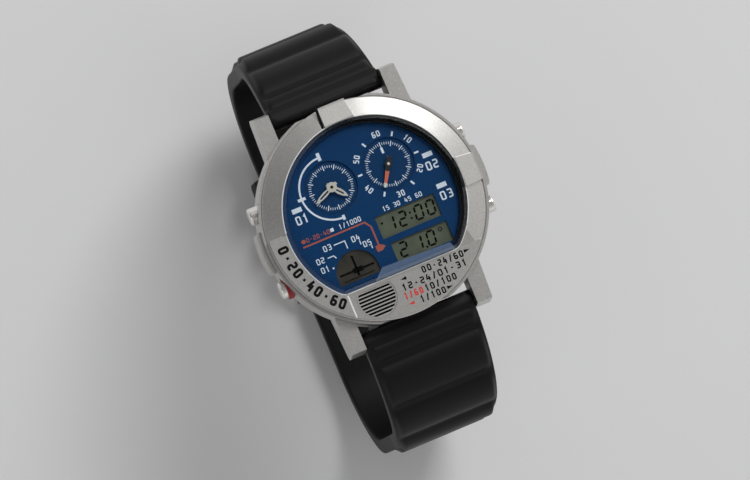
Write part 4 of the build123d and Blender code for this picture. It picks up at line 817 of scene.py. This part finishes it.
SHINE_OUTLINE = ((-4.0, -9.55), (8.2, -9.55), (7.8, -8.5), (-2.4, -8.1))
SHINE_DEPTH = 0.5
TIME_HUB_RADIUS = 0.2
FUNCTION_HUB_RADIUS = 0.16

# Pale band that paints a reflection in the glass along its straight edge.
ink_piece("glass_painted_reflection", [SHINE_OUTLINE], top_of("crystal") - SHINE_DEPTH, painted_reflection_glass)
ink_piece("time_hub", [disc_outline(TIME_CENTRE, TIME_HUB_RADIUS)], top_of("minute_arbor"), black_print_and_shade)
ink_piece("function_hub", [disc_outline(FUNCTION_CENTRE, FUNCTION_HUB_RADIUS)], top_of("function_arbor"),
          white_ink)


# Strap

STRAP_THICKNESS = 2.2
SIDE_AT_CASE = 8.4
SIDE_AT_BUCKLE = 7.2
TAPER_END_Z = 27.0
STRAP_ROUND = 0.35
ROUND_SHARE = 0.9
EYE_RADIUS = 1.6
BAR_RADIUS = 0.75
BAR_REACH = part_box("spring_bars")[1].y / MM - BAR_RADIUS
BAR_Z = BACK + 2.6
UPPER_SIDE_REACH = BAR_REACH + 9.2
LOWER_SIDE_REACH = BAR_REACH + 13.9
LEAVE_LENGTH = 1.0
UPPER_LEAVE_ANGLE = radians(38)
LOWER_LEAVE_ANGLE = radians(12)
CORNER_RADIUS = 12.0
TAIL_MID = 2.95
INNER_MID = 5.25
PIN_REACH = 0.5
TAIL_REACH = 14.0
TIP_RADIUS = 4.0
END_HALF = 0.1
RIDGE_PITCH = 7.2
RIDGE_COUNT = 4
RIDGE_VALLEY = 0.7
RIDGE_HEIGHT = 0.9
RIDGE_POWER = 2.6
ROOT_RIDGE_HEIGHT = 0.65
UPPER_FIRST_VALLEY = 3.6
LOWER_FIRST_VALLEY = 3.3
RIDGE_MARGIN = 0.2
RIDGE_FADE = 0.8
HOLE_PITCH = 6.0
HOLES_BEFORE = 4
HOLES_AFTER = 3
HOLE_SIZE = (1.8, 2.6)
SLOT_SIZE = (2.2, 3.0)
TONGUE_REACH = 2.2
HOLE_STEPS = 12

# Mesh spacing: across the strap from its edge, and along its middle line
EDGE_OFFSETS = (0, 0.04, 0.12, 0.22, 0.35, 0.6, 0.9, 1.2, 1.6, 2.2)
MIDDLE_COLUMNS = 9
EYE_OFFSETS = (0.02, 0.1, 0.25, 0.5, 0.8, 1.2)
RIDGE_STEP = 0.2
PLAIN_STEP = 0.9
TIP_STEPS = 16
TIP_MARGIN = 0.02


def loop_pieces(side_reach, leave_angle, floor_z, foot_end):
    """Lengths and turns of the strap's middle line, from the spring bar outwards."""
    shoulder_run = side_reach - BAR_REACH - LEAVE_LENGTH * cos(leave_angle)
    shoulder_radius = shoulder_run / (1 - sin(leave_angle))
    shoulder_drop = LEAVE_LENGTH * sin(leave_angle) + shoulder_radius * cos(leave_angle)
    side_length = BAR_Z - shoulder_drop - floor_z - CORNER_RADIUS
    return [(LEAVE_LENGTH, 0), (shoulder_radius * (pi / 2 - leave_angle), leave_angle - pi / 2),
            (side_length, 0), (CORNER_RADIUS * pi / 2, -pi / 2),
            (side_reach - CORNER_RADIUS - foot_end, 0)]


def line_length(pieces):
    """Length of a middle line."""
    return sum(length for length, turn in pieces)


def walk(pieces, distance):
    """Place and heading on the middle line at a distance from the spring bar."""
    y, z, heading = BAR_REACH, BAR_Z, -pi - sum(turn for length, turn in pieces)
    for index, (length, turn) in enumerate(pieces):
        step = distance if index == len(pieces) - 1 else min(distance, length)
        if turn:
            radius = length / turn
            bend = step / radius
            y += radius * (sin(heading + bend) - sin(heading))
            z -= radius * (cos(heading + bend) - cos(heading))
            heading += bend
        else:
            y += step * cos(heading)
            z += step * sin(heading)
        distance -= step
        if distance <= 0:
            break
    return y, z, heading


def smooth_step(share):
    """Even rise from 0 to 1."""
    share = min(max(share, 0), 1)
    return share * share * (3 - 2 * share)


def ridge_lift(distance, first_valley):
    """Height of the ridges above the strap's plain face."""
    ridge, place = divmod(distance - first_valley, RIDGE_PITCH)
    if ridge < 0:
        share = distance / (first_valley - RIDGE_VALLEY / 2)
        return ROOT_RIDGE_HEIGHT * (1 - (2 * share - 1) ** 2) if 0 < share < 1 else 0
    share = (place - RIDGE_VALLEY / 2) / (RIDGE_PITCH - RIDGE_VALLEY)
    if ridge >= RIDGE_COUNT or not 0 < share < 1:
        return 0
    return RIDGE_HEIGHT * (1 - abs(2 * share - 1) ** RIDGE_POWER)


def strap_stations(end, ridges_end):
    """Distances along the middle line where the strap's section is drawn."""
    stations = [offset - EYE_RADIUS for offset in EYE_OFFSETS]
    distance = 0
    while distance < end - TIP_RADIUS:
        stations.append(distance)
        distance += RIDGE_STEP if distance < ridges_end else PLAIN_STEP
    stations += [end - TIP_RADIUS * (1 - sin(pi / 2 * step / TIP_STEPS)) for step in range(TIP_STEPS)]
    return stations + [end - TIP_MARGIN]


def strap_section(side, rise, lift):
    """Outline of the strap as places across it and heights above its middle line."""
    rounding = min(STRAP_ROUND, rise * ROUND_SHARE)
    inside = side - EDGE_OFFSETS[-1]
    middle = [inside - 2 * inside * step / (MIDDLE_COLUMNS + 1) for step in range(1, MIDDLE_COLUMNS + 1)]
    columns = [side - offset for offset in EDGE_OFFSETS] + middle
    columns += [offset - side for offset in reversed(EDGE_OFFSETS)]
    upper, lower = [], []
    for x in columns:
        edge = max(rounding - (side - abs(x)), 0)
        drop = rounding - sqrt(max(rounding ** 2 - edge ** 2, 0))
        fade = smooth_step((side - abs(x) - RIDGE_MARGIN) / RIDGE_FADE)
        upper.append((x, rise + lift * fade - drop))
        lower.append((x, drop - rise))
    return upper + lower[::-1]


def strap_half(name, node, pieces, first_valley, round_end, sign, hole_places, hole_size):
    """One strap half: rounded edges, ridges by the case, and an eye or a round tip at its far end."""
    total = line_length(pieces)
    half = STRAP_THICKNESS / 2
    end = total + half if round_end else total
    work = bmesh.new()
    rings = []
    for distance in strap_stations(end, first_valley + RIDGE_COUNT * RIDGE_PITCH):
        y, z, heading = walk(pieces, distance)
        share = min(max((BAR_Z - z) / (BAR_Z - TAPER_END_Z), 0), 1)
        side = SIDE_AT_CASE + (SIDE_AT_BUCKLE - SIDE_AT_CASE) * share
        rise = half
        lift = ridge_lift(distance, first_valley)
        if distance < EYE_RADIUS:
            eye = sqrt(max(EYE_RADIUS ** 2 - distance ** 2, 0))
            rise = eye if distance < 0 else max(half, eye)
            lift = max(lift + half - rise, 0)
        if round_end and distance > total:
            rise = max(sqrt(max(half ** 2 - (distance - total) ** 2, 0)), END_HALF)
        if not round_end and distance > end - TIP_RADIUS:
            run = distance - (end - TIP_RADIUS)
            side = side - TIP_RADIUS + sqrt(max(TIP_RADIUS ** 2 - run ** 2, 0))
        rings.append([work.verts.new((x, sign * (y - height * sin(heading)), z + height * cos(heading)))
                      for x, height in strap_section(side, rise, lift)])
    join_rings(work, rings)
    piece = finish_mesh(work, name, materials["strap_rubber"], "watch", True)
    cut_holes(piece, [walk(pieces, place) for place in hole_places], hole_size, sign)
    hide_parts(node)


def cut_holes(piece, places, size, sign):
    """Cut round-ended slots through the strap, square to its middle line."""
    width, length = size
    straight = (length - width) / 2
    angles = [pi * step / HOLE_STEPS for step in range(HOLE_STEPS + 1)]
    outline = [(width / 2 * cos(angle), straight + width / 2 * sin(angle)) for angle in angles]
    outline += [(-x, -run) for x, run in outline]
    work = bmesh.new()
    for y, z, heading in places:
        ends = []
        for rise in (-STRAP_THICKNESS, STRAP_THICKNESS):
            ends.append([work.verts.new((x, sign * (y + run * cos(heading) - rise * sin(heading)),
                                         z + run * sin(heading) + rise * cos(heading)))
                         for x, run in outline])
        join_rings(work, ends)
    cutter = mesh_object(work, "cutter")
    cut = piece.modifiers.new("cut", "BOOLEAN")
    cut.operation = "DIFFERENCE"
    cut.solver = "EXACT"
    cut.use_self = True
    cut.object = cutter
    bpy.context.view_layer.update()
    whole = piece.data
    piece.data = bpy.data.meshes.new_from_object(piece.evaluated_get(bpy.context.evaluated_depsgraph_get()))
    piece.modifiers.clear()
    bpy.data.meshes.remove(whole)
    bpy.data.objects.remove(cutter)


upper_pieces = loop_pieces(UPPER_SIDE_REACH, UPPER_LEAVE_ANGLE, INNER_MID, -PIN_REACH)
lower_pieces = loop_pieces(LOWER_SIDE_REACH, LOWER_LEAVE_ANGLE, TAIL_MID, -TAIL_REACH)
tongue_place = line_length(lower_pieces) - TAIL_REACH - PIN_REACH - TONGUE_REACH
tail_places = [tongue_place + hole * HOLE_PITCH for hole in range(-HOLES_BEFORE, HOLES_AFTER + 1)]
strap_half("strap_twelve", "upper_strap", upper_pieces, UPPER_FIRST_VALLEY, True, 1,
           [line_length(upper_pieces)], SLOT_SIZE)
strap_half("strap_six", "lower_strap", lower_pieces, LOWER_FIRST_VALLEY, False, -1, tail_places, HOLE_SIZE)


# Keepers: the profile is shares of the wall outwards and of the width along the strap

KEEPER_WALL = 1.2
KEEPER_STEPS = 8
CROWN_SHARE = 0.06
KEEPER_PROFILE_SHARES = ((0.0, -0.5), (0.0, 0.5), (0.72, 0.5), (0.93, 0.46), (1.0, 0.36),
                         (1 + CROWN_SHARE, 0.0), (1.0, -0.36), (0.93, -0.46), (0.72, -0.5))


def keeper_loop(node, body):
    """Rubber band round the strap, with rounded rims and a slightly crowned face."""
    low, high = (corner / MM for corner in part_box(node))
    width, middle = high.y - low.y, (high.y + low.y) / 2
    reach = KEEPER_WALL - CROWN_SHARE * KEEPER_WALL
    work = bmesh.new()
    rings = []
    for x, z, start in ((high.x, high.z, 0), (low.x, high.z, pi / 2), (low.x, low.z, pi),
                        (high.x, low.z, 3 * pi / 2)):
        inner = Vector((x - KEEPER_WALL if x > 0 else x + KEEPER_WALL,
                        z - KEEPER_WALL if z == high.z else z + KEEPER_WALL))
        for step in range(KEEPER_STEPS + 1):
            angle = start + pi / 2 * step / KEEPER_STEPS
            outer = inner + Vector((reach * cos(angle), reach * sin(angle)))
            ring = []
            for share, along_share in KEEPER_PROFILE_SHARES:
                spot = inner.lerp(outer, share)
                ring.append(work.verts.new((spot.x, middle + along_share * width, spot.y)))
            rings.append(ring)
    join_rings(work, rings, closed=True)
    piece = finish_mesh(work, node + "_loop", materials["strap_rubber"], body, True)
    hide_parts(node)


keeper_loop("fixed_keeper", "watch")
keeper_loop("free_keeper", "loose_keeper")


# Coil springs of the push buttons, copied onto the watch

for row in ("upper", "lower"):
    for side in ("left", "right"):
        node = f"pusher_spring_{row}_{side}"
        coil = bpy.data.objects.new(node + "_coil", frame["nodes"][node].data.copy())
        coil.matrix_world = frame["nodes"][node].matrix_world
        scene.collection.objects.link(coil)
        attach(coil, "watch")
        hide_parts(node)
        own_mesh(coil)


# Floor, in metres

FLOOR_SPAN = 6.0
FLOOR_DROP = 0.0002

floor_mesh = bpy.data.meshes.new("floor")
reach = FLOOR_SPAN / 2
floor_mesh.from_pydata([(-reach, -reach, -FLOOR_DROP), (reach, -reach, -FLOOR_DROP),
                        (reach, reach, -FLOOR_DROP), (-reach, reach, -FLOOR_DROP)], [], [(0, 1, 2, 3)])
floor_mesh.materials.append(surface("floor", shown(0.88, 0.88, 0.88), 0.8))
floor = bpy.data.objects.new("floor", floor_mesh)
scene.collection.objects.link(floor)


# Light: lamp places and sizes in metres, and the sky's brightness along a tilted axis

AIM = Vector((-1.61, -4.14, 51.95)) * MM
KEY_PLACE = (0.30, 0.31, 0.54)
KEY_SIZE = 0.3
KEY_BRIGHTNESS = 0.52
FILL_PLACE = (-0.45, -0.2, 0.45)
FILL_SIZE = 0.4
FILL_BRIGHTNESS = 0.07
SKY_AXIS = (-0.42, 0.04, 0.906)
SKY_STOPS = ((0.5, (0.78, 0.78, 0.78, 1)), (0.98, (0.22, 0.22, 0.225, 1)))


def soft_lamp(name, place, size, brightness):
    """Square lamp aimed at the watch, whose brightness is what it adds to a white surface."""
    lamp = bpy.data.lights.new(name, "AREA")
    lamp.size = size
    offset = Vector(place) - AIM
    lamp.energy = brightness * pi ** 2 * offset.length_squared
    holder = bpy.data.objects.new(name, lamp)
    holder.location = place
    holder.rotation_euler = offset.to_track_quat("Z", "Y").to_euler()
    scene.collection.objects.link(holder)


def light_sky():
    """Sky that is bright round the horizon and dark overhead."""
    world = bpy.data.worlds.new("studio")
    scene.world = world
    world.use_nodes = True
    nodes, links = world.node_tree.nodes, world.node_tree.links
    coordinates = nodes.new("ShaderNodeTexCoord")
    tilt = nodes.new("ShaderNodeVectorMath")
    tilt.operation = "DOT_PRODUCT"
    tilt.inputs[1].default_value = SKY_AXIS
    rise = nodes.new("ShaderNodeMath")
    rise.operation = "MULTIPLY_ADD"
    rise.inputs[1].default_value = 0.5
    rise.inputs[2].default_value = 0.5
    ramp = colour_ramp(nodes, SKY_STOPS)
    links.new(coordinates.outputs["Generated"], tilt.inputs[0])
    links.new(tilt.outputs["Value"], rise.inputs[0])
    links.new(rise.outputs["Value"], ramp.inputs["Fac"])
    links.new(ramp.outputs["Color"], nodes["Background"].inputs["Color"])


soft_lamp("key_lamp", KEY_PLACE, KEY_SIZE, KEY_BRIGHTNESS)
soft_lamp("fill_lamp", FILL_PLACE, FILL_SIZE, FILL_BRIGHTNESS)
light_sky()


# Camera, with its distance in metres

LEAN_TO_SIX = radians(2)
LEAN_TO_NINE = radians(8)
ROLL = radians(22.5)
DISTANCE = 1.0
LENS = 343.5
SENSOR = 36
CLIP_START = 0.01

toward_camera = Vector((-tan(LEAN_TO_NINE), -tan(LEAN_TO_SIX), 1)).normalized()
across = Vector((cos(ROLL), -sin(ROLL), 0))
across = (across - toward_camera * across.dot(toward_camera)).normalized()
upward = toward_camera.cross(across)
camera = bpy.data.objects.new("camera", bpy.data.cameras.new("camera"))
camera.data.lens = LENS
camera.data.sensor_width = SENSOR
camera.data.clip_start = CLIP_START
camera.matrix_world = Matrix.Translation(AIM + toward_camera * DISTANCE) @ Matrix(
    (across, upward, toward_camera)).transposed().to_4x4()
scene.collection.objects.link(camera)
scene.camera = camera
scene.view_settings.view_transform = "Standard"
